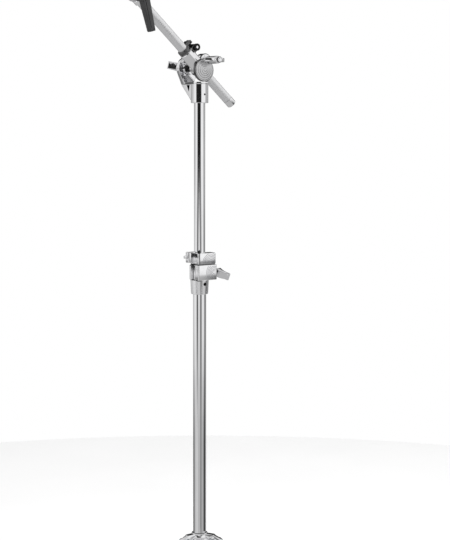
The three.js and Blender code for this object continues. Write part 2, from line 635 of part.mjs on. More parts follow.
// A straight taper along -Z with rounded edges, from its root size to its tip size. The boom frame leans
// by the boom's angle, so the grip turns by that angle and by its own lean.
function taperedGrip() {
  const { length } = LEVER;
  const grip = new THREE.ExtrudeGeometry(
    roundedRectangle(-0.5, 0.5, -0.5, 0.5, 0.22),
    { depth: length - 2.5, steps: 4, bevelEnabled: true, bevelThickness: 2.5, bevelSize: 0.16, bevelOffset: -0.16,
      bevelSegments: 3, curveSegments: 4 },
  );
  const place = grip.attributes.position;
  for (let i = 0; i < place.count; i += 1) {
    const t = THREE.MathUtils.clamp(place.getZ(i) / length, 0, 1);
    const wide = THREE.MathUtils.lerp(LEVER_ROOT.wide, LEVER_TIP.wide, t);
    const deep = THREE.MathUtils.lerp(LEVER_ROOT.deep, LEVER_TIP.deep, t);
    place.setXYZ(i, place.getX(i) * wide, place.getY(i) * deep, -place.getZ(i));
  }
  return grip;
}

function tilterLever() {
  const { hub, near, far, lean } = LEVER;
  const barrel = turned([[0, near], [hub - 1.5, near], [hub, near + 1.5], [hub, far - 3], [hub - 3, far], [0, far]], 28);
  const grip = taperedGrip().translate(0, LEVER.side, 0);
  const hole = alongY(cylinder(boreFor(TILTER_BOLT, GAP, SMALL_ROUND), near - 5, near + 10, SMALL_ROUND));
  const swing = THREE.MathUtils.degToRad(BOOM_ANGLE + lean);
  return cut(join(alongY(barrel), grip), hole).rotateY(swing).translate(TILTER.a, 0, 0);
}

// The tilter head and everything on the rod stand in a frame of their own: Z up the rod, Y as the boom's.
function tilterBody() {
  const { disc, gap, width } = TILTER;
  const plate = alongY(cylinder(disc, gap / 2, width + gap / 2, 28));
  const neck = cylinder(7, 6, 25, SMALL_ROUND).translate(0, ROD.side, 0);
  const hole = cylinder(boreFor(ROD.radius, GAP, SMALL_ROUND), ROD.from - GAP, 40, SMALL_ROUND)
    .translate(0, ROD.side, 0);
  const boltHole = alongY(cylinder(boreFor(TILTER_BOLT, GAP, SMALL_ROUND), -5, 30, SMALL_ROUND));
  const clear = box(-30, 30, -20, gap / 2, -30, disc + 1.2);
  return cut(join(plate, neck), hole, boltHole, clear);
}

const onRod = (geometry) => geometry.translate(0, ROD.side, 0);
const cymbalRod = () => onRod(turned([[0, ROD.from], [ROD.radius, ROD.from], [ROD.radius, ROD.to - 1],
  [ROD.radius - 1, ROD.to], [0, ROD.to]], SMALL_ROUND));

function cupWasher() {
  const bore = boreFor(ROD.radius, GAP, SMALL_ROUND);
  const { cup, felt, felts } = STACK;
  const profile = [
    [bore, cup - 0.4], [9, cup - 0.4], [12, cup + 1], [felts, felt - 1.5], [felts, felt - GAP],
    [10, felt - GAP - 2], [bore, felt - GAP - 2], [bore, cup - 0.4],
  ];
  return onRod(turned(profile, 28));
}

function felt(from) {
  const bore = boreFor(STACK.sleeve, GAP, SMALL_ROUND);
  const { felts: radius, feltHeight: height } = STACK;
  const profile = [
    [bore, from], [radius - 1.5, from], [radius, from + 1.5], [radius, from + height - 1.5],
    [radius - 1.5, from + height], [bore, from + height], [bore, from],
  ];
  return onRod(turned(profile, 28));
}

function cymbalSleeve() {
  const bore = boreFor(ROD.radius, GAP, SMALL_ROUND);
  const from = STACK.felt - 2;
  const outline = [[bore, from], [STACK.sleeve, from], [STACK.sleeve, STACK.nut - GAP], [bore, STACK.nut - GAP]];
  return onRod(turned([...outline, outline[0]], SMALL_ROUND));
}

function cymbalWingNut() {
  const from = STACK.nut;
  const profile = [[0, from], [9, from], [9, from + 3], [7, from + 5], [6.5, from + 18], [0, from + 18]];
  const wings = { root: 5, spread: 25, from: from + 5, to: from + 15, sweep: 10, thickness: 6, height: 8 };
  const handle = wingHandle(profile, wings);
  return onRod(cut(handle, cylinder(boreFor(ROD.radius, GAP, SMALL_ROUND), from - 5, from + 40, SMALL_ROUND)));
}

// ---------------------------------------------------------------- assembly

function boomFrame(...children) {
  const slope = THREE.MathUtils.degToRad(BOOM_ANGLE);
  const up = new THREE.Vector3(-Math.cos(slope), 0, Math.sin(slope));
  const side = new THREE.Vector3(0, -1, 0);
  const square = new THREE.Vector3().crossVectors(up, side);
  const holder = group(...children);
  holder.setRotationFromMatrix(new THREE.Matrix4().makeBasis(up, side, square));
  holder.position.set(0, 0, HEAD.tilt);
  return holder;
}

function rodFrame(...children) {
  const slope = THREE.MathUtils.degToRad(BOOM_ANGLE);
  const holder = group(...children);
  holder.rotation.z = Math.PI;
  holder.position.set(-TILTER.a * Math.cos(slope), 0, HEAD.tilt + TILTER.a * Math.sin(slope));
  return holder;
}

function tripod() {
  return group(
    piece('lower_tube', lowerTube(), 'chrome'),
    piece('tube_end_plug', endPlug(), 'rubber'),
    piece('brace_hub', braceHub(), 'chrome'),
    piece('brace_hub_screw', braceHubScrew(), 'steel'),
    piece('leg_hub', legHub(), 'chrome'),
    piece('leg_hub_screw', hubScrew(), 'chrome'),
    ...LEG_AZIMUTHS.map((azimuth, index) => tripodLeg(index + 1, azimuth)),
  );
}

function heightClamp() {
  return group(
    piece('clamp_body', clampBody(), 'chrome'),
    piece('clamp_bushing', clampBushing(), 'nylon'),
    piece('clamp_shoe', clampShoe(), 'nylon'),
    piece('clamp_set_screw', setScrew(), 'black'),
    piece('clamp_wing_screw', clampScrew(), 'chrome'),
    piece('memory_lock_body', memoryLock(), 'chrome'),
    piece('memory_lock_pin', lockPin(), 'black'),
    piece('memory_lock_screw', lockScrew(), 'chrome'),
  );
}

function head() {
  return group(
    piece('upper_tube', upperTube(), 'chrome'),
    piece('post_head', postHead(), 'chrome'),
    piece('post_head_pin', headPin(), 'steel'),
    piece('tilt_wing_nut', tiltWingNut(), 'chrome'),
    boomFrame(
      piece('boom_clamp', boomClamp(), 'chrome'),
      piece('boom_clamp_cap', boomClampCap(), 'chrome'),
      piece('tilt_axle', tiltAxle(), 'steel'),
      piece('tilt_spring', tiltSpring(), 'black'),
      piece('boom_lock_screw', boomLockScrew(), 'chrome'),
      piece('boom_lock_nut', boomLockNut(), 'steel'),
      piece('boom_pinch_screw', boomPinchScrew(), 'steel'),
      piece('boom_ring', boomRing(), 'chrome'),
      piece('boom_ring_screw', boomRingScrew(), 'steel'),
    ),
  );
}

function boom() {
  return boomFrame(
    piece('boom_tube', boomTube(), 'satin'),
    piece('boom_end_cap', boomEndCap(), 'chrome'),
    piece('tilter_socket', tilterSocket(), 'chrome'),
    piece('tilter_bolt', tilterBolt(), 'steel'),
    piece('tilter_lever', tilterLever(), 'grip'),
  );
}

function tilter() {
  const { felt: first, feltHeight } = STACK;
  return rodFrame(
    piece('tilter_body', tilterBody(), 'chrome'),
    piece('cymbal_rod', cymbalRod(), 'steel'),
    piece('cup_washer', cupWasher(), 'chrome'),
    piece('felt_lower', felt(first), 'felt'),
    piece('felt_upper', felt(first + feltHeight + GAP), 'felt'),
    piece('cymbal_sleeve', cymbalSleeve(), 'nylon'),
    piece('cymbal_wing_nut', cymbalWingNut(), 'chrome'),
  );
}

const stand = group(tripod(), heightClamp(), head(), boom(), tilter());
stand.name = 'cymbal_boom_stand';

export default stand;
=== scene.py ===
"""Finished looks for the cymbal boom stand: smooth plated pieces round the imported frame, and a studio."""

import json
import math

import bmesh
import bpy
from bpy.props import FloatProperty, FloatVectorProperty, IntProperty, PointerProperty
from mathutils import Matrix, Vector


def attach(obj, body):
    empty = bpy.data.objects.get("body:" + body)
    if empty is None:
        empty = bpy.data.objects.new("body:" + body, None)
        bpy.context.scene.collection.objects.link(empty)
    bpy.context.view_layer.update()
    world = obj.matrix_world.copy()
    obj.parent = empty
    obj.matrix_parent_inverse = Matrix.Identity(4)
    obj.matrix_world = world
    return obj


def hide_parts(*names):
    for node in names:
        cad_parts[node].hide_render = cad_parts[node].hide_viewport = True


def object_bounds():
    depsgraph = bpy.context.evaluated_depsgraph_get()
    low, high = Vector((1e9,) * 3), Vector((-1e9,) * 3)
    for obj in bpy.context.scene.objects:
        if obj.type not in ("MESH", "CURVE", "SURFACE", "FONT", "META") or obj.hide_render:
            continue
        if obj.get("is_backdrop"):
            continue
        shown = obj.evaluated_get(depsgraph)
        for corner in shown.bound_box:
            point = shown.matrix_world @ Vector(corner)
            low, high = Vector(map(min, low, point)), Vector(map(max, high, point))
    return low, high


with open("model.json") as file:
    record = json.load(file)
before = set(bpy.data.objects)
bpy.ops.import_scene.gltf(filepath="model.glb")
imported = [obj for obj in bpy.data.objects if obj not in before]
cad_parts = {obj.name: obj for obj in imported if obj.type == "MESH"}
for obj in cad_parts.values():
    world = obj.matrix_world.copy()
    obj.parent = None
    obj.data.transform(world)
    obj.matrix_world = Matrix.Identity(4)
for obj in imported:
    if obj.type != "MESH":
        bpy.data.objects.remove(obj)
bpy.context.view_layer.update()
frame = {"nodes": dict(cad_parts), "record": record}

bl_info = {
    "name": "Cymbal boom stand",
    "version": (1, 0, 0),
    "blender": (4, 5, 0),
    "location": "View3D > Sidebar > Stand",
    "description": "Builds the plated pieces, grips, feet and studio of a cymbal boom stand",
    "category": "Object",
}

MM = 0.001
ROW = Matrix.Identity(4)
JOINTS = {joint["name"]: joint for joint in frame["record"]["behaviour"]["joints"]}
LEG_COUNT = 3


# ------------------------------------------------------------------ places taken from the frame

def basis(x_axis, y_axis, z_axis, origin):
    """The matrix of a frame of its own, from its axes and its origin in metres."""
    turn = Matrix((x_axis, y_axis, z_axis)).transposed().to_4x4()
    return Matrix.Translation(origin) @ turn


def boom_frame():
    """X up the boom from the tilt axis, Y towards the cap's side, Z square to the boom."""
    up = Vector(JOINTS["boom_slide"]["axis"]).normalized()
    side = Vector((0, -1, 0))
    return basis(up, side, up.cross(side), Vector(JOINTS["boom_tilt"]["pos_m"]))


def rod_frame():
    """Z up the cymbal rod, from the tilter's pivot, Y towards the lever's side."""
    pivot = Vector(JOINTS["tilter_tilt"]["pos_m"])
    return basis(Vector((-1, 0, 0)), Vector((0, -1, 0)), Vector((0, 0, 1)), pivot)


def leg_frame(number, joint, down):
    """X along a leg or a brace from its hub pivot, Y across it."""
    pivot = Vector(JOINTS[joint]["pos_m"])
    out = Vector((pivot.x, pivot.y, 0)).normalized()
    node = f"leg_{number}" if down else f"brace_{number}"
    low, high = span(node, basis(out, Vector((0, 0, 1)).cross(out), Vector((0, 0, 1)), pivot))
    end = Vector((high.x, low.z if down else high.z))
    half = (high.z if down else -low.z)
    slope = math.atan2(end.y + (half if down else -half), end.x - half)
    along = out * math.cos(slope) + Vector((0, 0, 1)) * math.sin(slope)
    across = Vector((0, 0, 1)).cross(out)
    return basis(along, across, along.cross(across), pivot)


def span(node, place=ROW):
    """Lowest and highest corner of a CAD node in a frame of its own, in millimetres."""
    back = place.inverted()
    points = [back @ vertex.co for vertex in frame["nodes"][node].data.vertices]
    low = Vector([min(point[i] for point in points) for i in range(3)])
    high = Vector([max(point[i] for point in points) for i in range(3)])
    return low / MM, high / MM


# ------------------------------------------------------------------ user settings

class StandSizes(bpy.types.PropertyGroup):
    """Sizes that don't come from the frame."""

    round_steps: IntProperty(
        name="Round steps", description="Sides of a large turned piece", default=96, min=24, max=256)
    edge: FloatProperty(
        name="Edge radius", description="Rounding of cast edges, in millimetres", default=0.9, min=0.1,
                        max=3)
    ring_pitch: FloatProperty(
        name="Relief pitch", description="Distance between relief arcs, in millimetres", default=3.4, min=1)
    lens: FloatProperty(
        name="Lens", description="Focal length of the studio camera", default=93.3, unit="CAMERA")
    camera_distance: FloatProperty(
        name="Camera distance", description="Level distance from the post", default=3.17, unit="LENGTH")
    camera_height: FloatProperty(
        name="Camera height", description="Height above the frame's origin", default=1.3717, unit="LENGTH")
    camera_azimuth: FloatProperty(
        name="Camera azimuth", description="Side that the camera looks from",
        default=math.radians(-36), subtype="ANGLE")


class StandFinishes(bpy.types.PropertyGroup):
    """Colours of the finishes."""

    chrome: FloatVectorProperty(
        name="Chrome", description="Bright plating", default=(0.86, 0.86, 0.87), subtype="COLOR")
    cast: FloatVectorProperty(
        name="Plated casting", description="Plating over castings", default=(0.92, 0.92, 0.93),
                              subtype="COLOR")
    satin: FloatVectorProperty(
        name="Satin tube", description="Satin plated boom", default=(0.88, 0.88, 0.89), subtype="COLOR")
    steel: FloatVectorProperty(
        name="Steel", description="Turned screws and pins", default=(0.42, 0.42, 0.44), subtype="COLOR")
    black: FloatVectorProperty(
        name="Black steel", description="Blacked springs and set screws", default=(0.012, 0.012, 0.013),
        subtype="COLOR")
    grip: FloatVectorProperty(
        name="Grip", description="Moulded lever grip", default=(0.03, 0.03, 0.031), subtype="COLOR")
    rubber: FloatVectorProperty(
        name="Rubber", description="Feet and end plug", default=(0.016, 0.016, 0.017), subtype="COLOR")
    felt: FloatVectorProperty(
        name="Felt", description="Felt washers", default=(0.3, 0.295, 0.285), subtype="COLOR")


# ------------------------------------------------------------------ meshes, in millimetres

def mesh_of(shape):
    bmesh.ops.recalc_face_normals(shape, faces=shape.faces)
    mesh = bpy.data.meshes.new("shape")
    shape.to_mesh(mesh)
    shape.free()
    return mesh


def turned(profile, steps=None):
    """A solid of revolution about Z. Its [radius, z] points start and end on the axis, or close."""
    steps = steps or bpy.context.scene.stand_sizes.round_steps
    shape = bmesh.new()
    rings = []
    for radius, z in profile:
        if radius < 1e-6:
            rings.append([shape.verts.new((0, 0, z))])
            continue
        angles = [2 * math.pi * i / steps for i in range(steps)]
        rings.append([shape.verts.new((radius * math.cos(t), radius * math.sin(t), z)) for t in angles])
    if profile[0] == profile[-1] and profile[0][0] > 0:
        for vertex in rings.pop():
            shape.verts.remove(vertex)
        rings.append(rings[0])
    for lower, upper in zip(rings, rings[1:]):
        for i in range(steps):
            j = (i + 1) % steps
            corners = [lower[i % len(lower)], lower[j % len(lower)], upper[j % len(upper)],
                       upper[i % len(upper)]]
            corners = list(dict.fromkeys(corners))
            if len(corners) > 2:
                shape.faces.new(corners)
    return mesh_of(shape)


def prism(outline, z0, z1):
    """A flat outline in X and Y, raised from z0 to z1."""
    shape = bmesh.new()
    low = [shape.verts.new((x, y, z0)) for x, y in outline]
    high = [shape.verts.new((x, y, z1)) for x, y in outline]
    shape.faces.new(low)
    shape.faces.new(high)
    for i in range(len(outline)):
        j = (i + 1) % len(outline)
        shape.faces.new([low[i], low[j], high[j], high[i]])
    return mesh_of(shape)


def upright(outline, thickness, centre=0):
    """A flat outline in X and Z, of the given thickness along Y."""
    mesh = prism(outline, -thickness / 2, thickness / 2)
    mesh.transform(Matrix.Translation((0, centre, 0)) @ Matrix.Rotation(math.pi / 2, 4, "X"))
    return mesh


def box(x0, x1, y0, y1, z0, z1):
    return prism([(x0, y0), (x1, y0), (x1, y1), (x0, y1)], z0, z1)


def cylinder(radius, z0, z1, steps=None, edge=0.0):
    if edge:
        return turned([(0, z0), (radius - edge, z0), (radius, z0 + edge), (radius, z1 - edge),
                       (radius - edge, z1), (0, z1)], steps)
    return turned([(0, z0), (radius, z0), (radius, z1), (0, z1)], steps)


def along_x(mesh):
    mesh.transform(Matrix.Rotation(math.pi / 2, 4, "Y"))
    return mesh


def along_y(mesh):
    mesh.transform(Matrix.Rotation(-math.pi / 2, 4, "X"))
    return mesh


def moved(mesh, x=0.0, y=0.0, z=0.0):
    mesh.transform(Matrix.Translation((x, y, z)))
    return mesh


def spun(mesh, degrees, axis="Z"):
    mesh.transform(Matrix.Rotation(math.radians(degrees), 4, axis))
    return mesh


def arc(cx, cy, radius, start, end, steps):
    """Points of an arc, its angles in degrees."""
    angles = [math.radians(start + (end - start) * i / steps) for i in range(steps + 1)]
    return [(cx + radius * math.cos(t), cy + radius * math.sin(t)) for t in angles]


def rounded_rectangle(x0, x1, y0, y1, radius, steps=6):
    return (arc(x1 - radius, y0 + radius, radius, -90, 0, steps) + arc(x1 - radius, y1 - radius, radius, 0,
                                                                       90, steps)
            + arc(x0 + radius, y1 - radius, radius, 90, 180, steps)
            + arc(x0 + radius, y0 + radius, radius, 180, 270, steps))


def stadium(x0, x1, half, steps=16):
    return arc(x1, 0, half, -90, 90, steps) + arc(x0, 0, half, 90, 270, steps)


def quadratic(start, control, end, steps=8):
    points = []
    for i in range(1, steps + 1):
        t = i / steps
        points.append(tuple(
            (1 - t) ** 2 * a + 2 * t * (1 - t) * b + t * t * c for a, b, c in zip(start, control, end)))
    return points


def holder_of(mesh):
    item = bpy.data.objects.new("holder", mesh)
    bpy.context.scene.collection.objects.link(item)
    return item


def evaluated(item, spare=()):
    """The item's mesh with its modifiers applied; the item and the spare ones are removed."""
    bpy.context.view_layer.update()
    depsgraph = bpy.context.evaluated_depsgraph_get()
    mesh = bpy.data.meshes.new_from_object(item.evaluated_get(depsgraph), depsgraph=depsgraph)
    for each in (item, *spare):
        bpy.data.objects.remove(each, do_unlink=True)
    return mesh


def combined(base, tools, operation):
    item = holder_of(base)
    cutters = [holder_of(tool) for tool in tools]
    for cutter in cutters:
        modifier = item.modifiers.new("combine", "BOOLEAN")
        modifier.object = cutter
        modifier.operation = operation
        modifier.solver = "EXACT"
    return evaluated(item, cutters)


def join(base, *tools):
    return combined(base, tools, "UNION")


def cut(base, *tools):
    return combined(base, tools, "DIFFERENCE")


def common(base, *tools):
    return combined(base, tools, "INTERSECT")


def softened(mesh, width=None, segments=2, angle=32):
    """Rounds the sharp edges with a bevel."""
    width = width or bpy.context.scene.stand_sizes.edge
    item = holder_of(mesh)
    bevel = item.modifiers.new("bevel", "BEVEL")
    bevel.width = width
    bevel.segments = segments
    bevel.limit_method = "ANGLE"
    bevel.angle_limit = math.radians(angle)
    bevel.use_clamp_overlap = True
    bevel.miter_outer = "MITER_ARC"
    return evaluated(item)


# ------------------------------------------------------------------ materials

def link_all(tree, *pairs):
    for source, target in pairs:
        tree.links.new(source, target)




def start_material(name, color, metallic, roughness):
    material = bpy.data.materials.new(name)
    material.use_nodes = True
    tree = material.node_tree
    shader = tree.nodes["Principled BSDF"]
    shader.inputs["Base Color"].default_value = (*color, 1)
    shader.inputs["Metallic"].default_value = metallic
    shader.inputs["Roughness"].default_value = roughness
    place = tree.nodes.new("ShaderNodeTexCoord")
    return material, tree, shader, place.outputs["Object"]


def noise(tree, vector, scale, detail=4.0, stretch=None):
    if stretch:
        mapping = tree.nodes.new("ShaderNodeMapping")
        mapping.inputs["Scale"].default_value = stretch
        tree.links.new(vector, mapping.inputs["Vector"])
        vector = mapping.outputs["Vector"]
    made = tree.nodes.new("ShaderNodeTexNoise")
    made.inputs["Scale"].default_value = scale
    made.inputs["Detail"].default_value = detail
    tree.links.new(vector, made.inputs["Vector"])
    return made.outputs["Fac"]


def spread(tree, value, low, high):
    """Maps a noise value to a range."""
    made = tree.nodes.new("ShaderNodeMapRange")
    made.inputs["From Min"].default_value = 0.25
    made.inputs["From Max"].default_value = 0.75
    made.inputs["To Min"].default_value = low
    made.inputs["To Max"].default_value = high
    tree.links.new(value, made.inputs["Value"])
    return made.outputs["Result"]


def tinted(tree, value, dark, light):
    """Mixes two colours by a noise value."""
    ramp = tree.nodes.new("ShaderNodeValToRGB")
    ramp.color_ramp.elements[0].position = 0.3
    ramp.color_ramp.elements[1].position = 0.7
    ramp.color_ramp.elements[0].color = (*dark, 1)
    ramp.color_ramp.elements[1].color = (*light, 1)
    tree.links.new(value, ramp.inputs["Fac"])
    return ramp.outputs["Color"]


def bumped(tree, shader, height, strength, distance):
    made = tree.nodes.new("ShaderNodeBump")
    made.inputs["Strength"].default_value = strength
    made.inputs["Distance"].default_value = distance
    tree.links.new(height, made.inputs["Height"])
    tree.links.new(made.outputs["Normal"], shader.inputs["Normal"])


def shade(color, factor):
    return tuple(min(1.0, channel * factor) for channel in color)


def plated(name, color, low, high, orange_peel):
    """Bright plating: faint wipe marks in the gloss and a slow ripple in the surface."""
    material, tree, shader, place = start_material(name, color, 1.0, low)
    wipe = noise(tree, place, 60, 6)
    tree.links.new(tinted(tree, noise(tree, place, 22), shade(color, 0.97), shade(color, 1.03)),
                   shader.inputs["Base Color"])
    tree.links.new(spread(tree, wipe, low, high), shader.inputs["Roughness"])
    bumped(tree, shader, noise(tree, place, 140, 2), orange_peel, 0.0004)
    return material


def satin_tube(color):
    """Satin plating, its fine grain drawn out along the boom."""
    material, tree, shader, place = start_material("satin_plating", color, 1.0, 0.3)
    turn = boom_frame().inverted().to_euler()
    mapping = tree.nodes.new("ShaderNodeMapping")
    mapping.inputs["Rotation"].default_value = turn
    tree.links.new(place, mapping.inputs["Vector"])
    grain = noise(tree, mapping.outputs["Vector"], 900, 3, (0.05, 1, 1))
    tree.links.new(spread(tree, grain, 0.36, 0.5), shader.inputs["Roughness"])
    tree.links.new(tinted(tree, grain, shade(color, 0.94), shade(color, 1.04)), shader.inputs["Base Color"])
    bumped(tree, shader, grain, 0.08, 0.0002)
    return material


def turned_steel(color):
    material, tree, shader, place = start_material("turned_steel", color, 1.0, 0.28)
    marks = noise(tree, place, 400, 5)
    tree.links.new(spread(tree, marks, 0.2, 0.36), shader.inputs["Roughness"])
    tree.links.new(tinted(tree, marks, shade(color, 0.85), shade(color, 1.15)), shader.inputs["Base Color"])
    return material


def black_steel(color):
    material, tree, shader, place = start_material("black_steel", color, 0.6, 0.4)
    tree.links.new(spread(tree, noise(tree, place, 300), 0.32, 0.5), shader.inputs["Roughness"])
    tree.links.new(tinted(tree, noise(tree, place, 90), shade(color, 0.7), shade(color, 1.5)),
                   shader.inputs["Base Color"])
    return material


def moulded(name, color, roughness, grain):
    """Moulded plastic or rubber with a fine pebbled skin."""
    material, tree, shader, place = start_material(name, color, 0.0, roughness)
    pebble = noise(tree, place, grain, 5)
    tree.links.new(spread(tree, pebble, roughness - 0.08, roughness + 0.08), shader.inputs["Roughness"])
    tree.links.new(tinted(tree, noise(tree, place, 35), shade(color, 0.82), shade(color, 1.2)),
                   shader.inputs["Base Color"])
    bumped(tree, shader, pebble, 0.25, 0.0002)
    return material


def wool_felt(color):
    material, tree, shader, place = start_material("wool_felt", color, 0.0, 0.95)
    shader.inputs["Sheen Weight"].default_value = 0.35
    shader.inputs["Sheen Roughness"].default_value = 0.6
    fibre = noise(tree, place, 1300, 8, (1, 1, 2.4))
    blotch = noise(tree, place, 160, 5)
    tree.links.new(tinted(tree, blotch, shade(color, 0.72), shade(color, 1.25)),
                   shader.inputs["Base Color"])
    bumped(tree, shader, fibre, 0.6, 0.0006)
    return material


def finishes():
    """All finishes, made once."""
    colors = bpy.context.scene.stand_finishes
    if "chrome" not in FINISHES:
        FINISHES["chrome"] = plated("bright_plating", colors.chrome, 0.03, 0.07, 0.012)
        FINISHES["cast"] = plated("plated_casting", colors.cast, 0.09, 0.17, 0.05)
        FINISHES["brushed"] = plated("dull_plated_casting", shade(colors.cast, 0.68), 0.24, 0.34, 0.04)
        # Chrome darkened to about a sixth: painted shade and painted dark reflection for plated edges,
        # ears, rims and rings that are as bright as the rest of the plating.
        FINISHES["painted_shade_chrome"] = plated("painted_shade_plating", shade(colors.chrome, 0.16), 0.08, 0.16, 0.03)
        FINISHES["satin"] = satin_tube(colors.satin)
        FINISHES["steel"] = turned_steel(colors.steel)
        FINISHES["black"] = black_steel(colors.black)
        FINISHES["grip"] = moulded("moulded_grip", colors.grip, 0.42, 1600)
        # Black nylon for the real bushing, shoe and sleeve, and also painted shadow for the plates in the
        # clamp's gaps and in the hub's bore.
        FINISHES["nylon"] = moulded("black_nylon_and_painted_shade", colors.grip, 0.5, 900)
        FINISHES["rubber"] = moulded("rubber", colors.rubber, 0.78, 700)
        FINISHES["felt"] = wool_felt(colors.felt)
    return FINISHES


FINISHES = {}


def add(name, mesh, finish, body, nodes=(), place=ROW, smooth=38):
    """Puts a mesh in its place as a piece that rides on a body and stands for CAD nodes."""
    mesh.transform(place @ Matrix.Diagonal((MM, MM, MM, 1)))
    mesh.name = name
    for polygon in mesh.polygons:
        polygon.use_smooth = True
    mesh.set_sharp_from_angle(angle=math.radians(smooth))
    mesh.materials.clear()
    mesh.materials.append(finishes()[finish])
    piece = bpy.data.objects.new(name, mesh)
    bpy.context.scene.collection.objects.link(piece)
    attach(piece, body)
    if nodes:
        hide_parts(*nodes)
    return piece


# ------------------------------------------------------------------ shared hardware

def blade_outline(root, spread_x, start, end, sweep, thickness):
    """One blade of a wing handle, in the plane of its axis and its spread."""
    tip = end + sweep
    points = [(0, start), (root, start)]
    points += quadratic(points[-1], (spread_x * 0.55, start), (spread_x - thickness, tip - thickness))
    points += quadratic(points[-1], (spread_x + 1, tip - thickness * 0.4),
                        (spread_x - thickness * 0.5, tip))
    points += quadratic(points[-1], (spread_x * 0.5, end + 1), (root, end))
    return points + [(0, end)]


def wing_handle(profile, blade, height, edge=1.6):
    """A turned hub on Z with two cast blades spread along X."""
    wing = upright(blade_outline(*blade), height)
    wing = softened(wing, edge, 3, 50)
    other = spun(wing.copy(), 180)
    return join(turned(profile, 48), wing, other)


def socket_head(radius, z0, z1, socket):
    """A round screw head with a hexagon socket, its flat side at z0."""
    head = turned([(0, z0), (radius, z0), (radius, z1 - 0.8), (radius - 0.8, z1), (0, z1)], 48)
    return cut(head, turned([(0, z1 - 2.8), (socket, z1 - 2.8), (socket, z1 + 1), (0, z1 + 1)], 6))


def square_key(shank, z0, z1, collar):
    """A key screw along Z: square head at the low end, round collar, plain shank."""
    head = softened(box(-2.8, 2.8, -2.8, 2.8, z0 - 7, z0 - 1), 0.5)
    return join(cylinder(collar, z0 - 2.2, z0, 32, 0.4), head, cylinder(shank, z0 - 1, z1, 24))


def relief_arcs(centre, radii, window, start, end, width=0.6, rise=0.5):
    """Raised concentric arcs on a flat face in X and Y, kept inside a window (x0, x1, y0, y1)."""
    x0, x1, y0, y1 = window
    shape = bmesh.new()
    for radius in radii:
        points = arc(*centre, radius, start, end, 48)
        runs = []
        for x, y in points:
            inside = x0 < x < x1 and y0 < y < y1
            if not inside:
                runs.append([])
                continue
            if not runs:
                runs.append([])
            runs[-1].append((x, y))
        for run in runs:
            if len(run) < 3:
                continue
            rows = []
            for x, y in run:
                out = Vector((x - centre[0], y - centre[1])).normalized()
                section = [(-width, -0.2), (-width * 0.5, rise), (width * 0.5, rise), (width, -0.2)]
                rows.append([shape.verts.new((x + out.x * s, y + out.y * s, h)) for s, h in section])
            for a, b in zip(rows, rows[1:]):
                for k in range(4):
                    m = (k + 1) % 4
                    shape.faces.new([a[k], a[m], b[m], b[k]])
            shape.faces.new(rows[0])
            shape.faces.new(rows[-1])
    return mesh_of(shape)


# ------------------------------------------------------------------ pieces

class STAND_OT_tubes(bpy.types.Operator):
    """Post tubes and the lower tube's end plug"""

    bl_idname = "stand.tubes"
    bl_label = "Post tubes"

    def execute(self, context):
        for name, wall, body in (("lower_tube", 1.5, "base"), ("upper_tube", 1.4, "post")):
            low, high = span(name)
            radius = high.x
            profile = [(radius - wall, low.z + 0.4), (radius - wall + 0.4, low.z), (radius - 0.4, low.z),
                       (radius, low.z + 0.4), (radius, high.z - 0.4), (radius - 0.4, high.z),
                       (radius - wall + 0.4, high.z), (radius - wall, high.z - 0.4)]
            add(f"{name}_plated", turned(profile + profile[:1], 128), "chrome", body, [name])
        low, high = span("tube_end_plug")
        edge = high.x
        plug = turned([(0, low.z), (edge - 2, low.z), (edge - 0.6, low.z + 0.6), (edge, low.z + 1.6),
                       (edge, low.z + 4), (13.1, low.z + 4), (12.6, high.z), (0, high.z)])
        add("end_plug_rubber", plug, "rubber", "base", ["tube_end_plug"])
        return {"FINISHED"}


